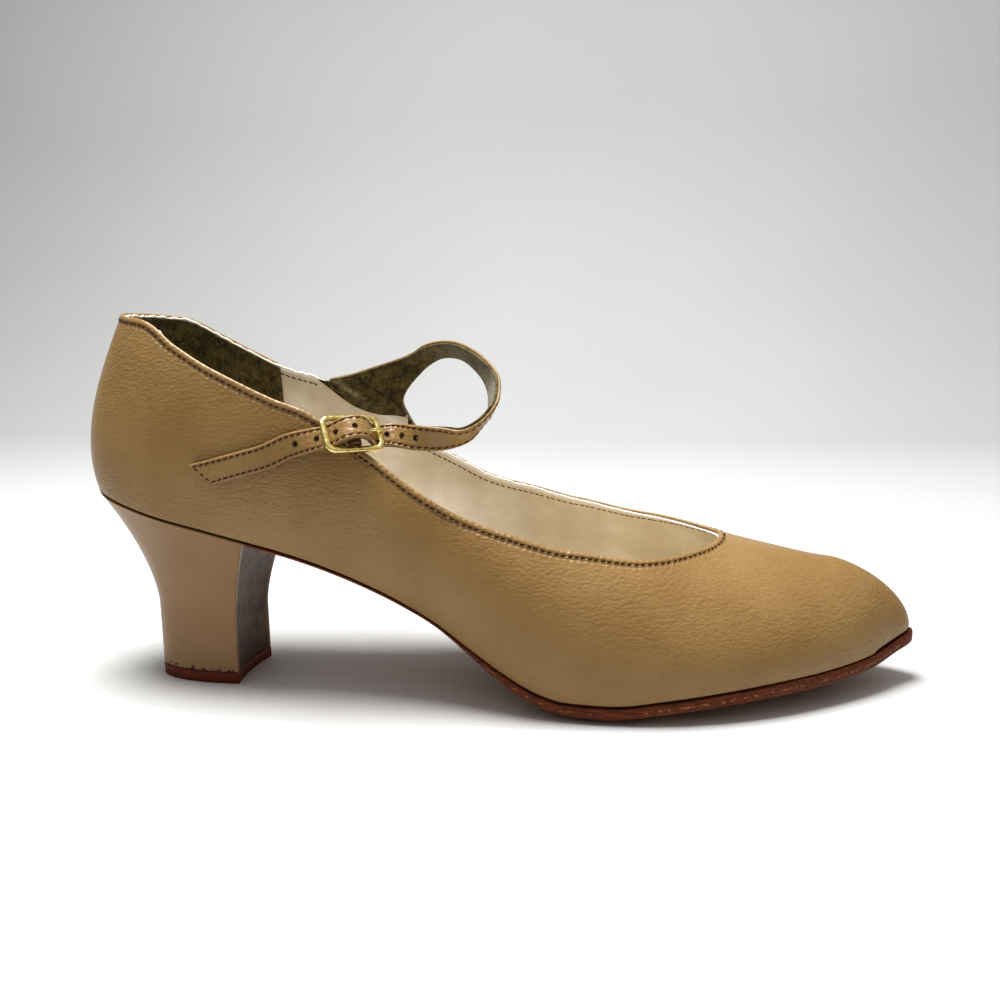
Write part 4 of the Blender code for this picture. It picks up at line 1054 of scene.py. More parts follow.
@dataclass
class Upper:
    """Vamp and quarters in one, with the folded topline, its stitching and its linings."""

    last: Last
    topline: Topline
    leather_thickness: float = 0.0010
    lining_depth: float = 0.00105
    lining_thickness: float = 0.00045
    leather_offset: float = -0.00004
    leather_drop: tuple[float, float] = (0.0009, 0.004)
    lining_drop: tuple[float, float] = (0.0003, 0.006)
    counter_thickness: float = 0.0005
    counter_offset: float = 0.00005
    counter_drop: tuple[float, float] = (0.0007, 0.006)
    facing_thickness: float = 0.0003
    facing_clear: float = 0.0003
    facing_climb: float = 0.0036
    facing_out: float = 0.00048
    facing_depth: float = 0.00012
    root_depth: float = 0.00002
    root_start: float = 0.078
    root_drop: float = 0.006
    root_lap: float = 0.0004
    throat_turn: float = 0.470
    throat_lean: float = 0.038
    stitch: Stitch = Stitch(0.00070, 0.00021, 0.00017)
    stitch_down: float = 0.0018
    stitch_lean: float = 0.16
    stitch_out: float = 0.00008
    stitch_in: float = 0.0001
    stitch_lower: float = 0.0006
    pitch: float = 0.0019
    seam_share: float = 0.05
    tuck_share: float = 0.012
    tuck_in: float = 0.0009
    tuck_down: float = 0.00018
    weld: float = 0.00003
    fray_reach: float = 0.0013
    fray_rise: float = 0.0005
    fray_lump: float = 0.0001
    fray_start: float = 0.052
    fray_blend: float = 0.004
    roll_swell: float = 0.00003
    roll_swollen: tuple[float, float] = (0.0003, 0.0016)
    toe_floor: float = 0.0125
    toe_reaches: tuple[float, ...] = (0.060, 0.052, 0.044, 0.036, 0.028)
    toe_spread: float = 0.45
    toe_passes: int = 7
    counts: tuple[int, int, int, int] = (110, 84, 30, 46)

    @cached_property
    def rows(self) -> Line:
        """Shares from the feather line to the edge, closer together at both."""
        return np.concatenate([np.linspace(0.0, 0.03, 6)[:-1], np.linspace(0.03, 0.86, 32)[:-1],
                               np.linspace(0.86, 1.0, 18)])

    def grid(self, side: Side) -> Points:
        """Skin points of one side.

        Args:
            side: The side of the shoe.

        Returns:
            Stations and arches as an array of pairs, columns by rows.
        """
        line, points = self.last.topline(side)
        counts, rows = self.counts, self.rows
        lines = self.last.lines[side]
        throat_end = float(np.interp(line[-1, 0], self.last.shares[side], lines[:, 0])) / self.last.length
        turn = float(self.last.station(side, self.throat_turn))
        run = run_of(points)
        throat_run = np.linspace(np.interp(turn, line[:, 0], run), run[-1], counts[1], endpoint=False)
        quarter = np.linspace(0.0, turn, counts[0], endpoint=False)
        feet = np.linspace(self.throat_turn, throat_end + self.throat_lean, counts[1], endpoint=False)
        vamp_feet, vamp_tops = (np.linspace(start, self.last.toe_fan, counts[2], endpoint=False)
                                for start in (throat_end + self.throat_lean, throat_end))
        toe = np.linspace(float(self.last.station(side, self.last.toe_fan)), 1.0, counts[3] + 1)
        low = np.concatenate([quarter, self.last.station(side, feet),
                              self.last.station(side, vamp_feet), toe])
        top = np.concatenate([quarter, np.interp(throat_run, run, line[:, 0]),
                              self.last.station(side, vamp_tops), toe])
        arch = np.concatenate([np.interp(quarter, line[:, 0], line[:, 1]),
                               np.interp(throat_run, run, line[:, 1]), np.ones(counts[2] + counts[3] + 1)])
        stations = low[:, None] + (top - low)[:, None] * rows[None, :]
        return np.stack([stations, arch[:, None] * rows[None, :]], axis=-1)

    @cached_property
    def edge_tree(self) -> tuple[BVHTree, Points]:
        """Search tree of the topline as a narrow ribbon."""
        low, high = (self.topline.offset(0.0, down)[::3] for down in (-5e-5, 5e-5))
        count = len(low)
        ribbon = np.stack([low, high], axis=1).reshape(-1, 3)
        tree = BVHTree.FromPolygons(ribbon.tolist(), faces_of(count, 2, True, False))
        return tree, self.topline.run[::3]

    def marks(self, points: Points) -> tuple[Line, Line]:
        """Distance to the topline and run along it, for each point."""
        tree, run = self.edge_tree
        index, edge = zip(*(tree.find_nearest(Vector(place))[2:] for place in points.reshape(-1, 3)))
        return np.reshape(edge, points.shape[:-1]), run[list(index)].reshape(points.shape[:-1])

    def skin(self, name: str, offset: float, drop: tuple[float, float], thickness: float,
             front: float | None = None, frayed: bool = False) -> bpy.types.Object:
        """Layer of the upper parallel to the last's skin.

        Args:
            name: Name of the piece.
            offset: Distance outside the skin.
            drop: How far the edge at the topline moves down, and the reach of that.
            thickness: Thickness of the layer, inwards.
            front: Where it ends on the last's x; it covers the whole upper where None.
            frayed: Its top edge is cut raw and stands up along the inner side.

        Returns:
            The piece.
        """
        points, faces, edges, runs, start = [], [], [], [], 0
        for side in Side:
            places = self.grid(side)
            skin = self.last.point(side, places[..., 0], places[..., 1])
            if front is not None:
                chosen = skin[:, -1, 0] < front
                places, skin = places[chosen], skin[chosen]
            at = np.clip(places[..., 0], 2e-4, 1 - 2e-4), np.clip(places[..., 1], 1e-3, 0.999)
            normals = self.last.normal(side, *at)
            shared = unit(normals + self.last.normal(side.other, *at))
            normals = np.where(places[..., 1:] > 0.9995, shared, normals)
            edge, run = self.marks(skin)
            down = np.gradient(skin, axis=1)
            down = -unit(np.where(np.linalg.norm(down, axis=-1, keepdims=True) > 1e-9, down, (0, 0, 1)))
            seam = np.clip((1 - places[..., 1]) / self.seam_share, 0.0, 1.0)
            fall = seam * (drop[0] * np.exp(-(edge / drop[1]) ** 2))
            skin = skin + fall[..., None] * down + offset * normals
            if frayed:
                skin -= (seam * self.fray(side, skin, run, edge))[..., None] * down
            skin += self.relief(skin)[..., None] * normals
            tuck = np.clip(1 - places[..., 1] / self.tuck_share, 0.0, 1.0)
            skin -= (tuck ** 2 * self.tuck_in)[..., None] * normals
            skin[..., 2] -= tuck * self.tuck_down
            turn = -1 if side is Side.LATERAL else 1
            quads = faces_of(*skin.shape[:2], False, False)
            faces += [tuple(start + k for k in quad[::turn]) for quad in quads]
            start += edge.size
            for kept, values in ((points, skin.reshape(-1, 3)), (edges, edge.ravel()), (runs, run.ravel())):
                kept.append(values)
        marks = {"edge": np.concatenate(edges), "run": np.concatenate(runs)}
        piece = mesh_piece(name, np.concatenate(points), faces, marks)
        return walled(baked(modify(piece, "WELD", merge_threshold=self.weld)), thickness)

    def fray(self, side: Side, points: Points, run: Line, edge: Line) -> Line:
        """How far the cut edge of the lining stands up.

        Args:
            side: The side of the shoe.
            points: Points of the lining.
            run: Their run along the topline.
            edge: Their distance to the topline.

        Returns:
            The rise of each point.
        """
        near = np.exp(-(edge / self.fray_reach) ** 2)
        lumps = sum(np.sin(run / MM * k + k * k) for k in (0.6, 1.7, 2.9, 4.3)) * self.fray_lump
        if side is Side.LATERAL:
            return near * lumps
        front = np.clip((points[..., 0] - self.fray_start) / self.fray_blend, 0.0, 1.0)
        return near * (self.fray_rise * front + lumps)

    def relief(self, points: Points) -> Line:
        """Soft forms of the leather: how far each point stands off the last."""
        x, y, z = np.moveaxis(points / MM, -1, 0)
        height = np.zeros(x.shape)
        for cx, cz, angle, reach, width, depth, side in CREASES:
            turn = math.radians(angle)
            u = (x - cx) * math.cos(turn) + (z - cz) * math.sin(turn)
            v = -(x - cx) * math.sin(turn) + (z - cz) * math.cos(turn)
            height += (y * side > 0) * depth * MM * np.exp(-(u / reach) ** 2 - (v / width) ** 2)
        return height

    def build(self, leather: SmoothLeather, cloth: LiningCloth, suede: Suede, thread: Thread) -> None:
        """Make and dress every piece of the upper.

        Args:
            leather: Finish of the outside.
            cloth: Finish of the lining.
            suede: Finish of the counter lining and of the facing at the strap's root.
            thread: Finish of the stitches.
        """
        tan, brown, white, nap = (finish.material() for finish in (leather, thread, cloth, suede))
        inside = -self.lining_depth - self.lining_thickness
        outside = self.skin("upper_leather", self.leather_offset, self.leather_drop,
                            self.leather_thickness)
        self.round_toe(outside)
        dress(outside, tan, "upper_leather", "upper")
        dress(self.roll(), tan, "upper_leather")
        dress(self.stitches("topline_stitches", self.stitch_out, self.stitch_down), brown, "upper_leather")
        dress(self.stitches("lining_stitches", inside - self.stitch_in,
                            self.stitch_down + self.stitch_lower), brown, "upper_leather")
        dress(self.skin("quarter_and_vamp_lining", -self.lining_depth, self.lining_drop,
                        self.lining_thickness, frayed=True), white, "sock_lining")
        dress(self.skin("counter_lining", inside - self.counter_offset, self.counter_drop,
                        self.counter_thickness, front=COUNTER_EDGE), nap, "sock_lining")
        self.roots(nap, white)

    def round_toe(self, piece: bpy.types.Object) -> None:
        """Work the ridge over the toe into an even crown, softer towards its borders."""
        mesh = bmesh.new()
        mesh.from_mesh(piece.data)
        front = self.last.length + LAST_TO_FRAME[0]
        ridge = Vector(self.last.point(Side.MEDIAL, 0.9, 1.0)) + Vector(LAST_TO_FRAME)
        for reach in self.toe_reaches:
            near = [vertex for vertex in mesh.verts
                    if vertex.co.x > front - reach and vertex.co.z > self.toe_floor
                    and abs(vertex.co.y - ridge.y) < self.toe_spread * reach]
            for _ in range(self.toe_passes):
                bmesh.ops.smooth_vert(mesh, verts=near, factor=0.5, use_axis_x=True,
                                      use_axis_y=True, use_axis_z=True)
        mesh.to_mesh(piece.data)
        mesh.free()

    def roll(self) -> bpy.types.Object:
        """Folded edge of the leather round the whole topline."""
        line, form = self.topline, ROLL_FORM * MM
        wave = np.cos(2 * math.pi * line.run / self.pitch)
        rings = []
        upper, lower = self.roll_swollen
        for out, down in form:
            swell = self.roll_swell * wave * (upper < down < lower) * (out > -0.0002)
            rings.append(line.offset(out + swell, down))
        rings = np.stack(rings, axis=1)
        edge = np.broadcast_to(form[:, 1].clip(0.0), rings.shape[:2])
        run = np.broadcast_to(line.run[:, None], rings.shape[:2])
        return swept("folded_topline", rings, closed=True, marks={"edge": edge, "run": run})

    def stitches(self, name: str, out: float, down: float) -> bpy.types.Object:
        """Row of stitches under the topline.

        Args:
            name: Name of the piece.
            out: Height of the thread over the last's skin.
            down: Distance below the edge.

        Returns:
            The piece.
        """
        line = self.topline
        count = int(line.length / self.pitch)
        parts = []
        for k in (np.arange(count) * len(line.run) / count).astype(int):
            spot = line.points[k] + out * line.normals[k] + down * line.downs[k]
            if out < 0 < spot[1] * Side.MEDIAL.value and ROOT_RISE[0, 0] < spot[0] < ROOT_RISE[-1, 0]:
                continue
            run = unit(line.tangents[k] + self.stitch_lean * line.downs[k])
            up = line.normals[k] * math.copysign(1.0, out)
            parts.append(self.stitch.at(spot, run, np.cross(up, run), up))
        return joined(name, parts)

    @cached_property
    def inner_edge(self) -> Points:
        """Topline of the inner side."""
        return self.last.topline(Side.MEDIAL)[1]

    def rim(self, x: Line | float) -> Line:
        """Height of the topline on the inner side."""
        return np.interp(x, self.inner_edge[:, 0], self.inner_edge[:, 2])

    def root(self, name: str, low: Callable[[Line], Line], high: Callable[[Line], Line], first: float,
             depth: float) -> bpy.types.Object:
        """Sheet on the inner quarter that climbs from inside the wall onto the strap's root.

        Args:
            name: Name of the piece.
            low: Height of its lower edge over x.
            high: Height of its upper edge over x.
            first: Its rear end on the last's x.
            depth: How deep it lies inside the lining.

        Returns:
            The piece.
        """
        side, columns, count = Side.MEDIAL, 90, 46
        arches = np.linspace(0.0, 1.0, 401)
        inside = -self.lining_depth - self.lining_thickness - depth
        rows = []
        for x in np.linspace(first, ROOT_RISE[-1, 0], columns):
            station = float(self.last.station(side, x / self.last.length))
            z = np.linspace(float(low(x)), float(high(x)), count)
            arch = np.interp(z, self.last.point(side, station, arches)[:, 2], arches)
            climb = np.clip((z - self.rim(x) - self.facing_clear) / self.facing_climb, 0.0, 1.0)
            climb = climb * climb * (3 - 2 * climb)
            out = inside + (self.facing_out - depth - inside) * climb
            normal = self.last.normal(side, station, arch)
            rows.append(self.last.point(side, station, arch) + out[:, None] * normal)
        marks = {"edge": np.full((columns, count), 0.01)}
        sheet = mesh_piece(name, np.array(rows), faces_of(columns, count, False, False), marks)
        return walled(sheet, self.facing_thickness)

    def roots(self, nap: bpy.types.Material, cloth: bpy.types.Material) -> None:
        """Suede facing of the strap's root, and the lining that runs up to it.

        Args:
            nap: Finish of the suede.
            cloth: Finish of the lining.
        """
        def border(x: Line) -> Line:
            """Height of the border between suede and lining."""
            return column(ROOT_BORDER, 1, x)

        dress(self.root("strap_root_facing", border, lambda x: self.rim(x) + column(ROOT_RISE, 1, x),
                        ROOT_RISE[0, 0], self.facing_depth), nap, "sock_lining")
        dress(self.root("strap_root_lining", lambda x: self.rim(x) - self.root_drop,
                        lambda x: border(x) + self.root_lap, self.root_start, self.root_depth),
              cloth, "sock_lining")


# ---------------------------------------------------------------- bottom


# Rings of the top piece from the heel down: height, how far they are drawn in.
TOP_PIECE_RINGS = ((0.00355, 0.0006), (0.00355, 0.0002), (0.0033, 0.0), (0.0003, 0.0), (0.0, 0.0003))


@dataclass
class Bottom:
    """Sole, sock, heel and top piece."""

    last: Last
    welt: float = 0.0006
    sock_thickness: float = 0.0018
    base_length: float = 0.0295
    base_width: float = 0.0255
    lift_thickness: float = 0.0036
    breast_top: float = 0.215
    breast_base: float = 0.1885
    breast_skew: float = 0.071
    breast_hollow: float = 0.0012
    base_offset: float = -0.028
    base_roundness: float = 2.3
    heel_waist: float = 0.65
    heel_hollow: float = 1.6
    seat_draw: float = 0.00045
    seat_drop: float = 0.00025
    foot_draw: float = 0.0004
    foot_rise: float = 0.00022
    bevel: float = 0.00028
    sole_corner: float = 0.0009
    sock_corner: float = 0.0007
    columns: int = 132

    def plate(self, name: str, first: float, last: float, swell: Callable[[Line], Line],
              top: Callable[[Line, Line], Line], tread: Callable[[Line, Line], Line], corner: float,
              sharp: float | None = None) -> bpy.types.Object:
        """Flat piece with rounded edges between two height functions.

        Args:
            name: Name of the piece.
            first: Its rear end on the last's x.
            last: Its front end.
            swell: How far the outline stands out at shares of the length.
            top: Height of the upper face.
            tread: Height of the lower face.
            corner: Radius of the rounded edge.
            sharp: Angle in degrees over which an edge stays crisp.

        Returns:
            The piece.
        """
        rows, cells = 240, 26
        lines = {side: self.last.outline(side, swell(line[:, 0] / self.last.length))
                 for side, line in self.last.lines.items()}
        first = max(first, lines[Side.LATERAL][0, 0] + 1e-5)
        last = min(last, lines[Side.LATERAL][-1, 0] - 1e-5)
        xs = first + (last - first) * (eased(rows) + np.linspace(0.0, 1.0, rows)) / 2
        low, high = (np.interp(xs, lines[side][:, 0], lines[side][:, 1]) for side in Side)
        y = low[:, None] + (high - low)[:, None] * eased(cells)[None, :]
        x = np.broadcast_to(xs[:, None], y.shape)
        along = np.minimum(x / self.last.length, 1.0)
        over, under = top(along, y), tread(along, y)
        middle = (over + under) / 2
        near = np.minimum.reduce([y - low[:, None], high[:, None] - y,
                                  np.broadcast_to((last - xs)[:, None] * 3, y.shape)]).clip(0.0)
        round_off = np.sqrt(np.clip(1 - (1 - np.clip(near / corner, 0.0, 1.0)) ** 2, 0.0, 1.0))
        shape = 0.35 + 0.65 * round_off
        skins = [np.stack([x, y, middle + (face - middle) * shape], axis=-1) for face in (over, under)]
        faces = faces_of(rows, cells, False, False)
        count = rows * cells
        faces += [tuple(count + k for k in quad[::-1]) for quad in faces]
        index = np.arange(count).reshape(rows, cells)
        rim = np.concatenate([index[0, :-1], index[:-1, -1], index[-1, :0:-1], index[:0:-1, 0]])
        faces += [(int(a), int(b), int(count + b), int(count + a)) for a, b in zip(rim, np.roll(rim, -1))]
        marks = {name: np.concatenate([np.zeros(count), np.clip(share, 0.0, 1.0).ravel()])
                 for name, share in (("corner", 1 - near / (2.5 * corner)), ("tread", near / (2 * corner)))}
        return mesh_piece(name, np.array(skins), faces, marks, sharp)

    def sole(self) -> bpy.types.Object:
        """Leather sole from the heel's breast to the toe."""
        last = self.last

        def top(along: Line, y: Line) -> Line:
            """Height of the upper face."""
            return last.feather(along) - GAP / 2 - last.dish(along, y)

        def tread(along: Line, y: Line) -> Line:
            """Height of the lower face, flat on the floor under the ball."""
            edge = last.feather(along) - GAP - last.sole_edge * column(SOLE, 1, along)
            keel = last.sole_crown * column(SOLE, 2, along)
            return np.maximum(edge - keel * (1 - last.camber(along, y)), 0.0)

        return self.plate(
            "leather_sole", self.breast_top * last.length + GAP, last.length + self.welt,
            lambda along: self.welt * column(SOLE, 4, along), top, tread,
            self.sole_corner, 35.0)

    def sock(self) -> bpy.types.Object:
        """Sock that lies over the insole."""
        last = self.last

        def floor(along: Line, y: Line) -> Line:
            """Height of the lower face."""
            return last.feather(along) - np.where(along > self.breast_top, last.dish(along, y), 0.0)

        inset = -(last.wall + last.laid_gap)
        return self.plate("sock", 0.0, last.length, lambda along: np.full(len(along), inset),
                          lambda along, y: floor(along, y) + self.sock_thickness, floor,
                          self.sock_corner)

    def seat_outline(self) -> Points:
        """Heel seat from the outer corner of the breast round the back to the inner one."""
        breast = self.breast_top * self.last.length
        rows = []
        for side in (Side.LATERAL, Side.MEDIAL):
            line = self.last.lines[side]
            corner = [breast, np.interp(breast, line[:, 0], line[:, 1])]
            rows.append(np.vstack([line[line[:, 0] < breast], corner]))
        return self.even(np.concatenate([rows[0][::-1], rows[1][1:]]))

    def base_outline(self) -> Points:
        """Foot of the heel, in the same order as the seat."""
        angles = np.linspace(0.0, math.pi, 400)
        power = 2.0 / self.base_roundness
        across = -self.base_width / 2 * np.sign(np.cos(angles)) * np.abs(np.cos(angles)) ** power
        y = self.base_offset * self.last.ball_width + across
        x = self.breast_base * self.last.length + self.breast_skew * across
        return self.even(np.stack([x - self.base_length * np.sin(angles) ** power, y], axis=1))

    def even(self, line: Points) -> Points:
        """The line's points at equal steps."""
        run = run_of(line)
        return at_runs(line, run, np.linspace(0.0, run[-1], self.columns + 1))

    def ring(self, depth: float) -> Points:
        """Ring of the heel at a depth from 0 (seat) to 1 (base)."""
        top, base = self.seat_outline(), self.base_outline()
        spread = max(1.0 - depth / self.heel_waist, 0.0) ** self.heel_hollow
        plan = base + (top - base) * spread
        seat = self.last.feather(top[:, 0] / self.last.length) - GAP
        ring = np.column_stack([plan, seat * (1 - depth) + (self.lift_thickness + GAP / 3) * depth])
        steps = np.linspace(0.0, 1.0, 14)[1:-1, None]
        breast = ring[-1] + (ring[0] - ring[-1]) * steps
        breast[:, 0] -= 4 * self.breast_hollow * (1 - spread) * (steps * (1 - steps))[:, 0]
        return np.concatenate([ring, breast])

    def drawn_in(self, ring: Points, shrink: float) -> Points:
        """Copy of a ring, drawn in all round."""
        ring = ring.copy()
        ring[:, :2] -= unit(ring[:, :2] - ring[:, :2].mean(axis=0)) * shrink
        return ring

    def heel(self) -> bpy.types.Object:
        """Heel block with its crisp breast."""
        rings = [self.ring(depth) for depth in np.linspace(0.0, 1.0, 70)]
        top, foot = self.drawn_in(rings[0], self.seat_draw), self.drawn_in(rings[-1], self.foot_draw)
        rings[0][:, 2] -= self.seat_drop
        rings[-1][:, 2] += self.foot_rise
        form = np.array([top] + rings + [foot])
        # Marks the breast, which the lacquer turns dark brown as painted shade.
        breast = np.zeros(form.shape[:2])
        breast[:, self.columns + 1:] = 1.0
        piece = swept("lacquered_heel", form, marks={"breast": breast}, sharp=38.0)
        return modify(piece, "BEVEL", width=self.bevel, segments=2, limit_method="ANGLE",
                      angle_limit=math.radians(55.0))

    def top_piece(self) -> bpy.types.Object:
        """Top piece that the heel stands on."""
        rings = []
        for height, shrink in TOP_PIECE_RINGS:
            rings.append(self.drawn_in(self.ring(1.0), shrink))
            rings[-1][:, 2] = height
        return swept("top_piece", np.array(rings), sharp=50.0)

    def build(self, sole: SoleLeather, lacquer: HeelLacquer, rubber: TopPiece, sock: SockCloth) -> None:
        """Make and dress the pieces under the upper.

        Args:
            sole: Finish of the sole.
            lacquer: Finish of the heel.
            rubber: Finish of the top piece.
            sock: Finish of the sock.
        """
        dress(self.sole(), sole.material(), "sole_leather", "outsole")
        dress(self.sock(), sock.material(), "sock_lining", "insole")
        dress(self.heel(), lacquer.material(), "heel_lacquer", "heel_block")
        dress(self.top_piece(), rubber.material(), "top_piece", "heel_lift")


# ---------------------------------------------------------------- buckle and strap


@dataclass
class Buckle:
    """Gilt buckle with a centre bar, its prong and the leather chape that holds it."""

    last: Last
    length: float = 0.0176
    width: float = 0.0118
    wire: float = 0.0015
    bar: float = 0.00135
    prong: float = 0.0010
    along: float = 0.352
    across: float = -0.372
    height: float = 0.555
    yaw: float = math.radians(38.0)
    lean: float = math.radians(38.0)
    roll: float = math.radians(-3.0)
    corner: float = 0.0022
    section_power: float = 0.72
    section_out: float = 1.16
    section_up: float = 0.92
    prong_turn: tuple[float, float] = (150.0, 450.0)
    prong_tip: tuple[float, float, float] = (0.96, 0.82, 0.45)
    chape_turn: tuple[float, float] = (290.0, 560.0)
    chape_thickness: float = 0.0008
    chape_width: float = 0.0024
    chape_side: float = 0.0029
    chape_back: float = 0.0006
    chape_drop: float = 0.0033

    @cached_property
    def axes(self) -> tuple[Points, Points, Points, Points]:
        """Centre, and directions along the strap, across it and out of the buckle's plane."""
        centre = np.array([self.along * self.last.length, self.across * self.last.ball_width,
                           float(self.last.height(self.along, self.height))])
        level = np.array([math.cos(self.yaw), math.sin(self.yaw), 0.0])
        side = np.array([math.sin(self.yaw), -math.cos(self.yaw), 0.0])
        up = np.array([0.0, 0.0, 1.0])
        upright = up * math.cos(self.lean) - side * math.sin(self.lean)
        out = side * math.cos(self.lean) + up * math.sin(self.lean)
        return (centre, level * math.cos(self.roll) + upright * math.sin(self.roll),
                upright * math.cos(self.roll) - level * math.sin(self.roll), out)

    def place(self, along: float, across: float, out: float) -> Points:
        """Point given in the buckle's own directions."""
        centre, s, w, n = self.axes
        return centre + along * s + across * w + out * n

    @property
    def half(self) -> float:
        """Half the length, to the middle of an end bar."""
        return (self.length - self.wire) / 2

    def frame_piece(self) -> bpy.types.Object:
        """Frame: a rectangle with round corners and a softly bevelled section."""
        half_width = (self.width - self.wire) / 2
        _, s, w, n = self.axes
        c, d = np.cos(circle(16)), np.sin(circle(16))
        form = np.column_stack([np.sign(part) * np.abs(part) ** self.section_power for part in (c, d)])
        form *= (self.wire / 2 * self.section_out, self.wire / 2 * self.section_up)
        rings = []
        for quarter, (x, y) in enumerate(((1, 1), (-1, 1), (-1, -1), (1, -1))):
            for step in range(9):
                angle = math.pi / 2 * (quarter + step / 8)
                across = (half_width - self.corner) * y + self.corner * math.sin(angle)
                along = (self.half - self.corner) * x + self.corner * math.cos(angle)
                out = math.cos(angle) * s + math.sin(angle) * w
                rings.append(self.place(along, across, 0.0) + form[:, :1] * out + form[:, 1:] * n)
        return swept("buckle_rim", np.array(rings), closed=True, sharp=60.0)

    def tube(self, name: str, path: Points, diameters: Line) -> bpy.types.Object:
        """Round wire along a path of the buckle, with its diameter at each point."""
        run = unit(np.gradient(path, axis=0))
        across = self.axes[2] if abs(np.dot(run[0], self.axes[2])) < 0.9 else self.axes[3]
        side = square_to(run, across)[:, None]
        other = np.cross(run, side[:, 0])[:, None]
        turn = circle(16)[None, :, None]
        radii = 0.5 * diameters[:, None, None]
        rings = path[:, None] + radii * (np.cos(turn) * side + np.sin(turn) * other)
        return swept(name, rings, sharp=50.0)

    def arc(self, radius: float, across: float, angles: tuple[float, float], steps: int) -> Points:
        """Arc of points round the centre bar."""
        turns = np.radians(np.linspace(*angles, steps + 1))
        return np.array([self.place(radius * math.cos(t), across, radius * math.sin(t)) for t in turns])

    @property
    def prong_radius(self) -> float:
        """Distance of the prong's middle from the centre bar's."""
        return self.wire / 2 + GAP + self.prong / 2

    def prong_piece(self) -> bpy.types.Object:
        """Prong: a ring round the centre bar, then straight to the front end bar."""
        ring = self.arc(self.prong_radius, 0.0, self.prong_turn, 30)
        tip = self.place(self.half + self.prong, 0.0, self.prong_radius)
        straight = ring[-1] + (tip - ring[-1]) * np.linspace(0.0, 1.0, 13)[1:, None]
        path = np.concatenate([ring, straight])
        widths = np.full(len(path), self.prong)
        widths[-3:] *= self.prong_tip
        return self.tube("prong", path, widths)

    def bar_piece(self) -> bpy.types.Object:
        """Centre bar."""
        reach = (self.width - self.wire) / 2
        path = np.array([self.place(0.0, y, 0.0) for y in np.linspace(-reach, reach, 12)])
        return self.tube("centre_bar", path, np.full(12, self.bar))

    def chape_piece(self, name: str, side: float) -> bpy.types.Object:
        """Half of the leather chape, from inside the quarter round the centre bar.

        Args:
            name: Name of the piece.
            side: Its place across the buckle, on one side of the prong.

        Returns:
            The piece.
        """
        inside = self.last.wall + self.last.laid_gap + self.chape_thickness / 2
        seam = [self.last.sewn(Side.LATERAL, *place, -inside)[0] for place in CHAPE_SEAM]
        lead = self.place(-self.chape_back, side, -(inside + self.chape_drop))
        radius = self.wire / 2 + GAP + self.chape_thickness / 2
        loop = self.arc(radius, side, self.chape_turn, 12)
        middles = smooth_line(np.array(seam + [lead] + list(loop)), 4)
        run = unit(np.gradient(middles, axis=0))
        across = square_to(run, self.axes[2])
        out = unit(np.cross(run, across))[:, None]
        form = band_form(self.chape_width, self.chape_thickness)[None]
        return swept(name, middles[:, None] + form[..., :1] * across[:, None] + form[..., 1:] * out)

    def build(self, gilt: Gilt, leather: SmoothLeather) -> None:
        """Make and dress the buckle and its chape.

        Args:
            gilt: Finish of the metal.
            leather: Finish of the chape.
        """
        metal = gilt.material()
        dress(self.frame_piece(), metal, "gilt_metal", "buckle_frame")
        dress(self.bar_piece(), metal, "gilt_metal")
        dress(self.prong_piece(), metal, "gilt_metal", "buckle_prong")
        # The chape's dark brown is partly its own colour and partly painted shade under the buckle; its two
        # halves fill the shaded space there.
        hide = leather.material()
        dress(self.chape_piece("chape_upper_half", self.chape_side), hide, "chape_leather", "chape")
        dress(self.chape_piece("chape_lower_half", -self.chape_side), hide, "chape_leather")


def band_form(width: float, thickness: float) -> Points:
    """Cross-section of a flat band with round edges, as pairs across and out."""
    half, radius = width / 2, thickness / 2
    turn = np.linspace(-math.pi / 2, math.pi / 2, 7)
    right = np.column_stack([half - radius + radius * np.cos(turn), radius * np.sin(turn)])
    flat = np.linspace(half - radius, radius - half, 7)[1:-1]
    over = np.column_stack([flat, np.full(len(flat), radius)])
    return np.concatenate([right, over, -right, -over])


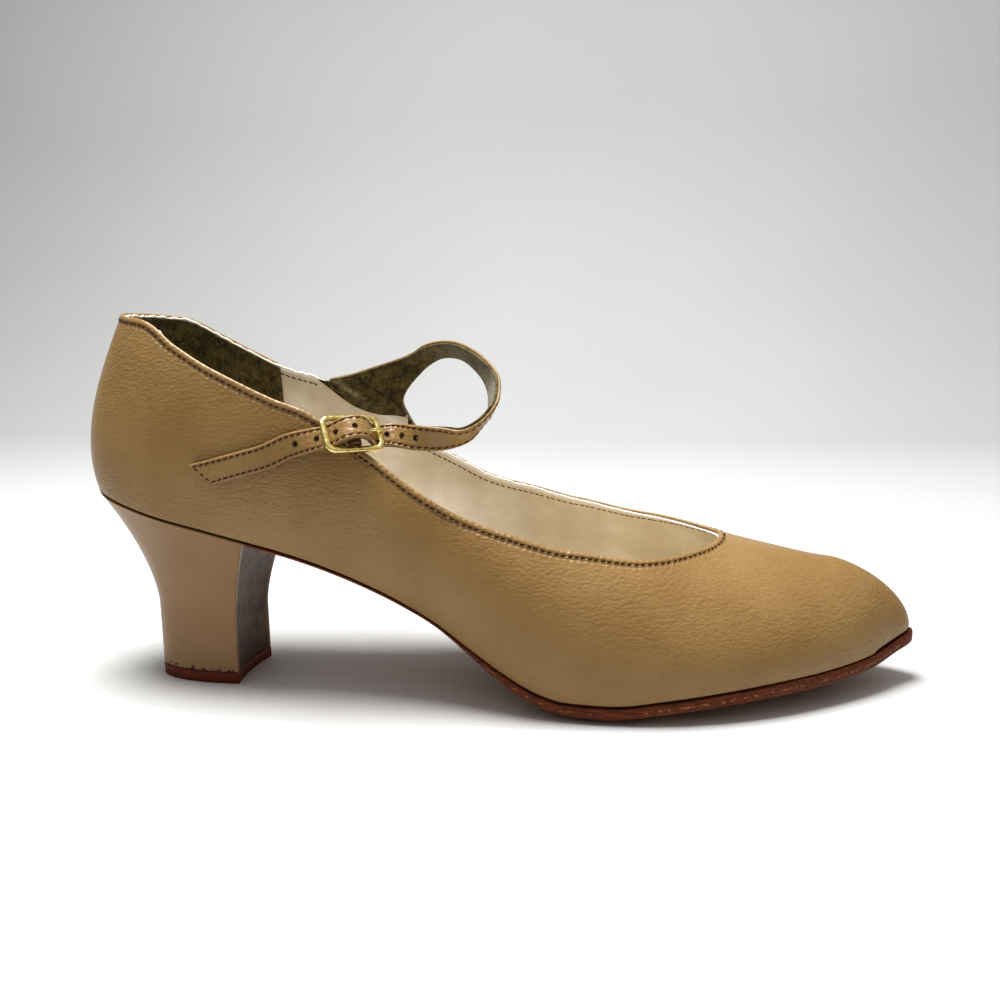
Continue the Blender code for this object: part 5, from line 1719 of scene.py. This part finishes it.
@dataclass
class Strap:
    """Instep strap: tan leather over olive suede, sewn along both edges, with its holes."""

    last: Last
    buckle: Buckle
    width: float = 0.0072
    thickness: float = 0.0018
    arch: float = 0.0235
    tail_slant: float = 0.0052
    hole: float = 0.0016
    lining_hole: float = 0.0005
    hole_places: tuple[float, ...] = (-0.0197, -0.0146, -0.0098, 0.0044, 0.0096, 0.0154, 0.0221)
    prong_hole: float = 0.42
    slot_start: float = 0.22
    stitch: Stitch = Stitch(0.00068, 0.00019, 0.00015)
    stitch_in: float = 0.0010
    stitch_lean: float = 0.14
    stitch_clear: float = 0.0009
    stitch_tip: float = 0.82
    leather: float = 0.0009
    leather_lift: float = 0.00045
    lining: float = 0.00086
    lining_lift: float = -0.00044
    lining_inset: float = 0.00012
    pitch: float = 0.0019
    cells: int = 16

    @property
    def over(self) -> float:
        """How far its middle surface lies outside the buckle's plane where it crosses the prong."""
        return self.buckle.wire / 2 + GAP + self.buckle.prong + 2 * GAP + self.thickness / 2

    @cached_property
    def shares(self) -> Line:
        """Places across the strap."""
        return np.linspace(0.0, 1.0, self.cells + 1)

    def rows(self) -> Points:
        """Cross rows of the strap's middle surface, from the sewn base to the tail's tip."""
        shares, last = self.shares, self.last
        lift = last.laid_gap + self.thickness / 2
        rows = []
        for rear_x, rear_z, front_x, front_z in STRAP_BASE:
            xs = last.length * (front_x + (rear_x - front_x) * shares)
            front, rear = last.height(front_x, front_z), last.height(rear_x, rear_z)
            zs = front + (rear - front) * shares
            rows.append(np.array([last.laid(Side.MEDIAL, x, z, lift)[0] for x, z in zip(xs, zs)]))
        points, leans = [], []
        for along, across, height, arch, *lean in STRAP_LOOP:
            z = float(self.last.height(along, height)) + self.arch * arch
            points.append(np.array([along * self.last.length, across * self.last.ball_width, z]))
            leans.append(np.array(lean))
        under = self.buckle.wire / 2 + GAP + self.thickness / 2
        for along, above, below in STRAP_WEAVE:
            out = above * self.over - below * under
            points.append(self.buckle.place(along * self.buckle.half, 0.0, out))
            leans.append(self.buckle.axes[2])
        for along, height in STRAP_TAIL:
            place, normal = last.sewn(Side.LATERAL, along, height, lift)
            leans.append(np.cross(place - points[-1], normal))
            points.append(place)
        for point, lean, run in zip(points, leans, unit(np.gradient(np.array(points), axis=0))):
            rows.append(point + np.outer((shares - 0.5) * self.width, square_to(run, lean)))
        tip = unit(rows[-1][0] - rows[-2][0])
        rows[-1] = rows[-1] + np.outer(self.tail_slant * (shares - 0.5), tip)
        return np.array(rows)

    @cached_property
    def surface(self) -> tuple[Points, Points, Line, Line]:
        """Dense middle surface: points, normals, run along it and width at each row."""
        points = smooth_line(self.rows(), 10)
        normals = unit(np.cross(np.gradient(points, axis=0), np.gradient(points, axis=1)))
        if normals[len(STRAP_BASE) * 5, self.cells // 2, 1] < 0:
            normals = -normals
        widths = np.sum(np.linalg.norm(np.diff(points, axis=1), axis=2), axis=1)
        return points, normals, run_of(points[:, self.cells // 2]), widths

    def ply(self, name: str, lift: float, thickness: float, inset: float, hole: float) -> bpy.types.Object:
        """One layer of the strap.

        Args:
            name: Name of the piece.
            lift: Distance of its middle outside the strap's middle surface.
            thickness: Its thickness.
            inset: How far its edges stand back.
            hole: Diameter of its holes.

        Returns:
            The piece, with its holes.
        """
        radius = thickness / 2
        rings, edges, runs = [], [], []
        turn = np.linspace(-math.pi / 2, math.pi / 2, 7)
        for row, out, place, width in zip(*self.surface):
            low, high = (inset + radius) / width, 1 - (inset + radius) / width
            inner = np.linspace(low, high, self.cells + 1)
            at, up = at_runs(row, self.shares, inner), at_runs(out, self.shares, inner)
            ends = []
            for end, beside, swing in ((-1, -2, turn[::-1]), (0, 1, turn)):
                side = unit(at[end] - at[beside])
                ends.append(at[end] + lift * up[end] + radius * (
                    np.cos(swing)[:, None] * side + np.sin(swing)[:, None] * up[end]))
            over = at[1:-1] + (lift + radius) * up[1:-1]
            below = (at[1:-1] + (lift - radius) * up[1:-1])[::-1]
            rings.append(np.concatenate([over, ends[0], below, ends[1]]))
            near = np.minimum(inner, 1 - inner)[1:-1] * width
            edges.append(np.concatenate([near, np.full(7, inset), near[::-1], np.full(7, inset)]))
            runs.append(np.full(len(edges[-1]), place))
        marks = {"edge": np.array(edges), "run": np.array(runs)}
        return self.punch(swept(name, np.array(rings), marks=marks, sharp=60.0), hole)

    @cached_property
    def holes(self) -> list[tuple[Points, Points]]:
        """Centre and direction of each hole, the prong's left out."""
        points, normals, run, _ = self.surface
        middle = points[:, self.cells // 2]
        at = self.buckle.place(self.prong_hole * self.buckle.half, 0.0, self.over / 2)
        start = run[np.argmin(np.linalg.norm(middle - at, axis=1))]
        picks = [int(np.searchsorted(run, start + offset)) for offset in self.hole_places]
        return [(middle[k], normals[k, self.cells // 2]) for k in picks]

    def punch(self, piece: bpy.types.Object, hole: float) -> bpy.types.Object:
        """Cut the holes and the prong's slot."""
        buckle, mesh = self.buckle, bmesh.new()
        for centre, direction in self.holes:
            rod(mesh, centre, direction, hole / 2, 4 * self.thickness, 20)
        first = buckle.place(self.slot_start * buckle.half, 0.0, buckle.prong_radius)
        last = buckle.place(buckle.half + buckle.prong, 0.0, buckle.prong_radius)
        length = float(np.linalg.norm(last - first))
        rod(mesh, (first + last) / 2, last - first, buckle.prong / 2 + GAP, length, 16)
        data = bpy.data.meshes.new("punch")
        mesh.to_mesh(data)
        mesh.free()
        punch = link("punch", data)
        baked(modify(piece, "BOOLEAN", operation="DIFFERENCE", solver="EXACT", object=punch))
        bpy.data.objects.remove(punch)
        return piece

    def stitches(self) -> bpy.types.Object:
        """Two rows of stitches along the strap, one across its slanted tip and one along its base."""
        points, normals, _, widths = self.surface
        lines = []
        for edge in (0.0, 1.0):
            picks = np.abs(edge - self.stitch_in / widths)
            lines.append([np.array([at_runs(row, self.shares, [pick])[0] for row, pick in zip(rows, picks)])
                          for rows in (points, normals)])
        tip = points[-1] * self.stitch_tip + points[-2] * (1 - self.stitch_tip)
        lines.append((tip[2:-2], normals[-1][2:-2]))
        lines.append((points[1][1:-1], normals[1][1:-1]))
        holes = np.array([centre for centre, _ in self.holes])
        parts = []
        for line, ups in lines:
            length = run_of(line)
            count = max(int(length[-1] / self.pitch), 2)
            wanted = (np.arange(count) + 0.5) * length[-1] / count
            spots, outs = at_runs(line, length, wanted), unit(at_runs(ups, length, wanted))
            runs = unit(at_runs(np.gradient(line, axis=0), length, wanted))
            for spot, up, along in zip(spots, outs, runs):
                if np.min(np.linalg.norm(holes - spot, axis=1)) < self.stitch_clear:
                    continue
                side = np.cross(up, along)
                along = unit(along + self.stitch_lean * side)
                parts.append(self.stitch.at(spot + (self.thickness / 2) * up, along, side, up))
        return joined("strap_stitches", parts)

    def build(self, leather: SmoothLeather, suede: Suede, thread: Thread) -> None:
        """Make and dress the strap.

        Args:
            leather: Finish of the outside.
            suede: Finish of the lining ply.
            thread: Finish of the stitches.
        """
        dress(self.ply("strap_leather", self.leather_lift, self.leather, 0.0, self.hole),
              leather.material(), "strap_leather", "strap")
        dress(self.ply("strap_lining", self.lining_lift, self.lining, self.lining_inset, self.lining_hole),
              suede.material(), "strap_leather")
        dress(self.stitches(), thread.material(), "strap_leather")


# ---------------------------------------------------------------- studio


@dataclass(frozen=True)
class Studio:
    """White sweep, soft light from above and the camera of the portrait."""

    floor_back: float = 0.52
    floor_front: float = -1.6
    half_width: float = 1.6
    sweep_radius: float = 0.30
    sweep_height: float = 1.5
    heading: float = -0.11014958681923258
    pitch: float = 0.2001500090409879
    roll: float = -0.011787732711161021
    place: tuple[float, float, float] = (0.0351439, -0.3068930, 0.1192054)
    lens: float = 37.0567
    lamp_watts: float = 10.0
    lamp_size: float = 0.40
    lamp_place: tuple[float, float, float] = (-0.10, 0.0, 0.80)
    lamp_aim: tuple[float, float, float] = (0.02, 0.0, 0.0)
    glow_above: tuple[float, ...] = (0.0, 0.8, 0.12, 0.52)
    glow_behind: tuple[float, ...] = (-0.1, 0.8, 0.0, 0.16)

    def floor(self) -> None:
        """Board that runs back under the shoe and sweeps up behind it."""
        angles = np.linspace(0.0, math.pi / 2, 24)
        profile = [(y, 0.0) for y in np.linspace(self.floor_front, self.floor_back, 12)]
        radius = self.sweep_radius
        profile += [(self.floor_back + radius * math.sin(a), radius * (1 - math.cos(a)))
                    for a in angles[1:]]
        profile.append((self.floor_back + self.sweep_radius, self.sweep_height))
        xs = np.linspace(-self.half_width, self.half_width, 9)
        rows = np.array([[(x, y, z - 0.00002) for x in xs] for y, z in profile]) - LAST_TO_FRAME
        piece = mesh_piece("studio_board", rows, faces_of(len(profile), len(xs), False, False))
        piece.data.materials.append(PaintedFloor().material())

    def lights(self) -> None:
        """Soft room, brighter above and behind than beside the camera, and one broad lamp."""
        world = bpy.data.worlds.new("soft white room")
        world.use_nodes = True
        tree = world.node_tree
        ways = add(tree, "ShaderNodeSeparateXYZ", {0: add(tree, "ShaderNodeTexCoord").outputs["Generated"]})
        glows = [add(tree, "ShaderNodeMapRange", dict(enumerate((ways.outputs[axis], *values))),
                     interpolation_type="SMOOTHSTEP").outputs[0]
                 for axis, values in ((2, self.glow_above), (1, self.glow_behind))]
        power = add(tree, "ShaderNodeMath", dict(enumerate(glows)), operation="ADD")
        tree.links.new(power.outputs[0], tree.nodes["Background"].inputs["Strength"])
        tree.nodes["Background"].inputs["Color"].default_value = (1.0, 1.0, 1.0, 1.0)
        bpy.context.scene.world = world
        data = bpy.data.lights.new("broad lamp overhead", "AREA")
        data.energy, data.shape, data.size = self.lamp_watts, "DISK", self.lamp_size
        lamp = bpy.data.objects.new("broad lamp overhead", data)
        lamp.location = self.lamp_place
        aim = Vector(self.lamp_aim) - Vector(self.lamp_place)
        lamp.rotation_euler = aim.to_track_quat("-Z", "Y").to_euler()
        bpy.context.scene.collection.objects.link(lamp)

    def camera(self) -> None:
        """Camera of the portrait, rolled as the picture is."""
        forward = Vector((math.sin(self.heading) * math.cos(self.pitch),
                          math.cos(self.heading) * math.cos(self.pitch), -math.sin(self.pitch)))
        right = Vector((math.cos(self.heading), -math.sin(self.heading), 0.0))
        up = right.cross(forward)
        turn = Matrix((right, up, -forward)).transposed().to_4x4() @ Matrix.Rotation(self.roll, 4, "Z")
        data = bpy.data.cameras.new("portrait")
        data.lens, data.sensor_width, data.sensor_fit = self.lens, 36.0, "HORIZONTAL"
        data.clip_start = 0.01
        camera = bpy.data.objects.new("portrait", data)
        camera.matrix_world = Matrix.Translation(self.place) @ turn
        bpy.context.scene.collection.objects.link(camera)
        bpy.context.scene.camera = camera

    def build(self) -> None:
        """Set up the studio."""
        self.floor()
        self.lights()
        self.camera()
        bpy.context.scene.view_settings.view_transform = "Standard"
        bpy.context.scene.view_settings.look = "Medium High Contrast"


def main() -> None:
    """Build the classes in order and report each piece."""
    logging.basicConfig(level=logging.INFO, format="%(name)s: %(message)s")
    topline = Topline(LAST)
    upper = Upper(LAST, topline)
    thread = Thread()
    upper.build(SmoothLeather(stitch_line=upper.stitch_down, pitch=upper.pitch), LiningCloth(),
                Suede(), thread)
    Bottom(LAST).build(SoleLeather(), HeelLacquer(), TopPiece(), SockCloth())
    buckle = Buckle(LAST)
    # Chape colours: its own dark brown, made darker still as painted shade under the buckle.
    buckle.build(Gilt(), SmoothLeather("chape leather", "#7d5632", "#5a3a1e", "#3c2412"))
    strap = Strap(LAST, buckle)
    strap.build(SmoothLeather("strap leather", stitch_line=strap.stitch_in, pitch=strap.pitch),
                Suede("strap suede"), Thread("strap thread"))
    Studio().build()


if __name__ == "__main__":
    main()
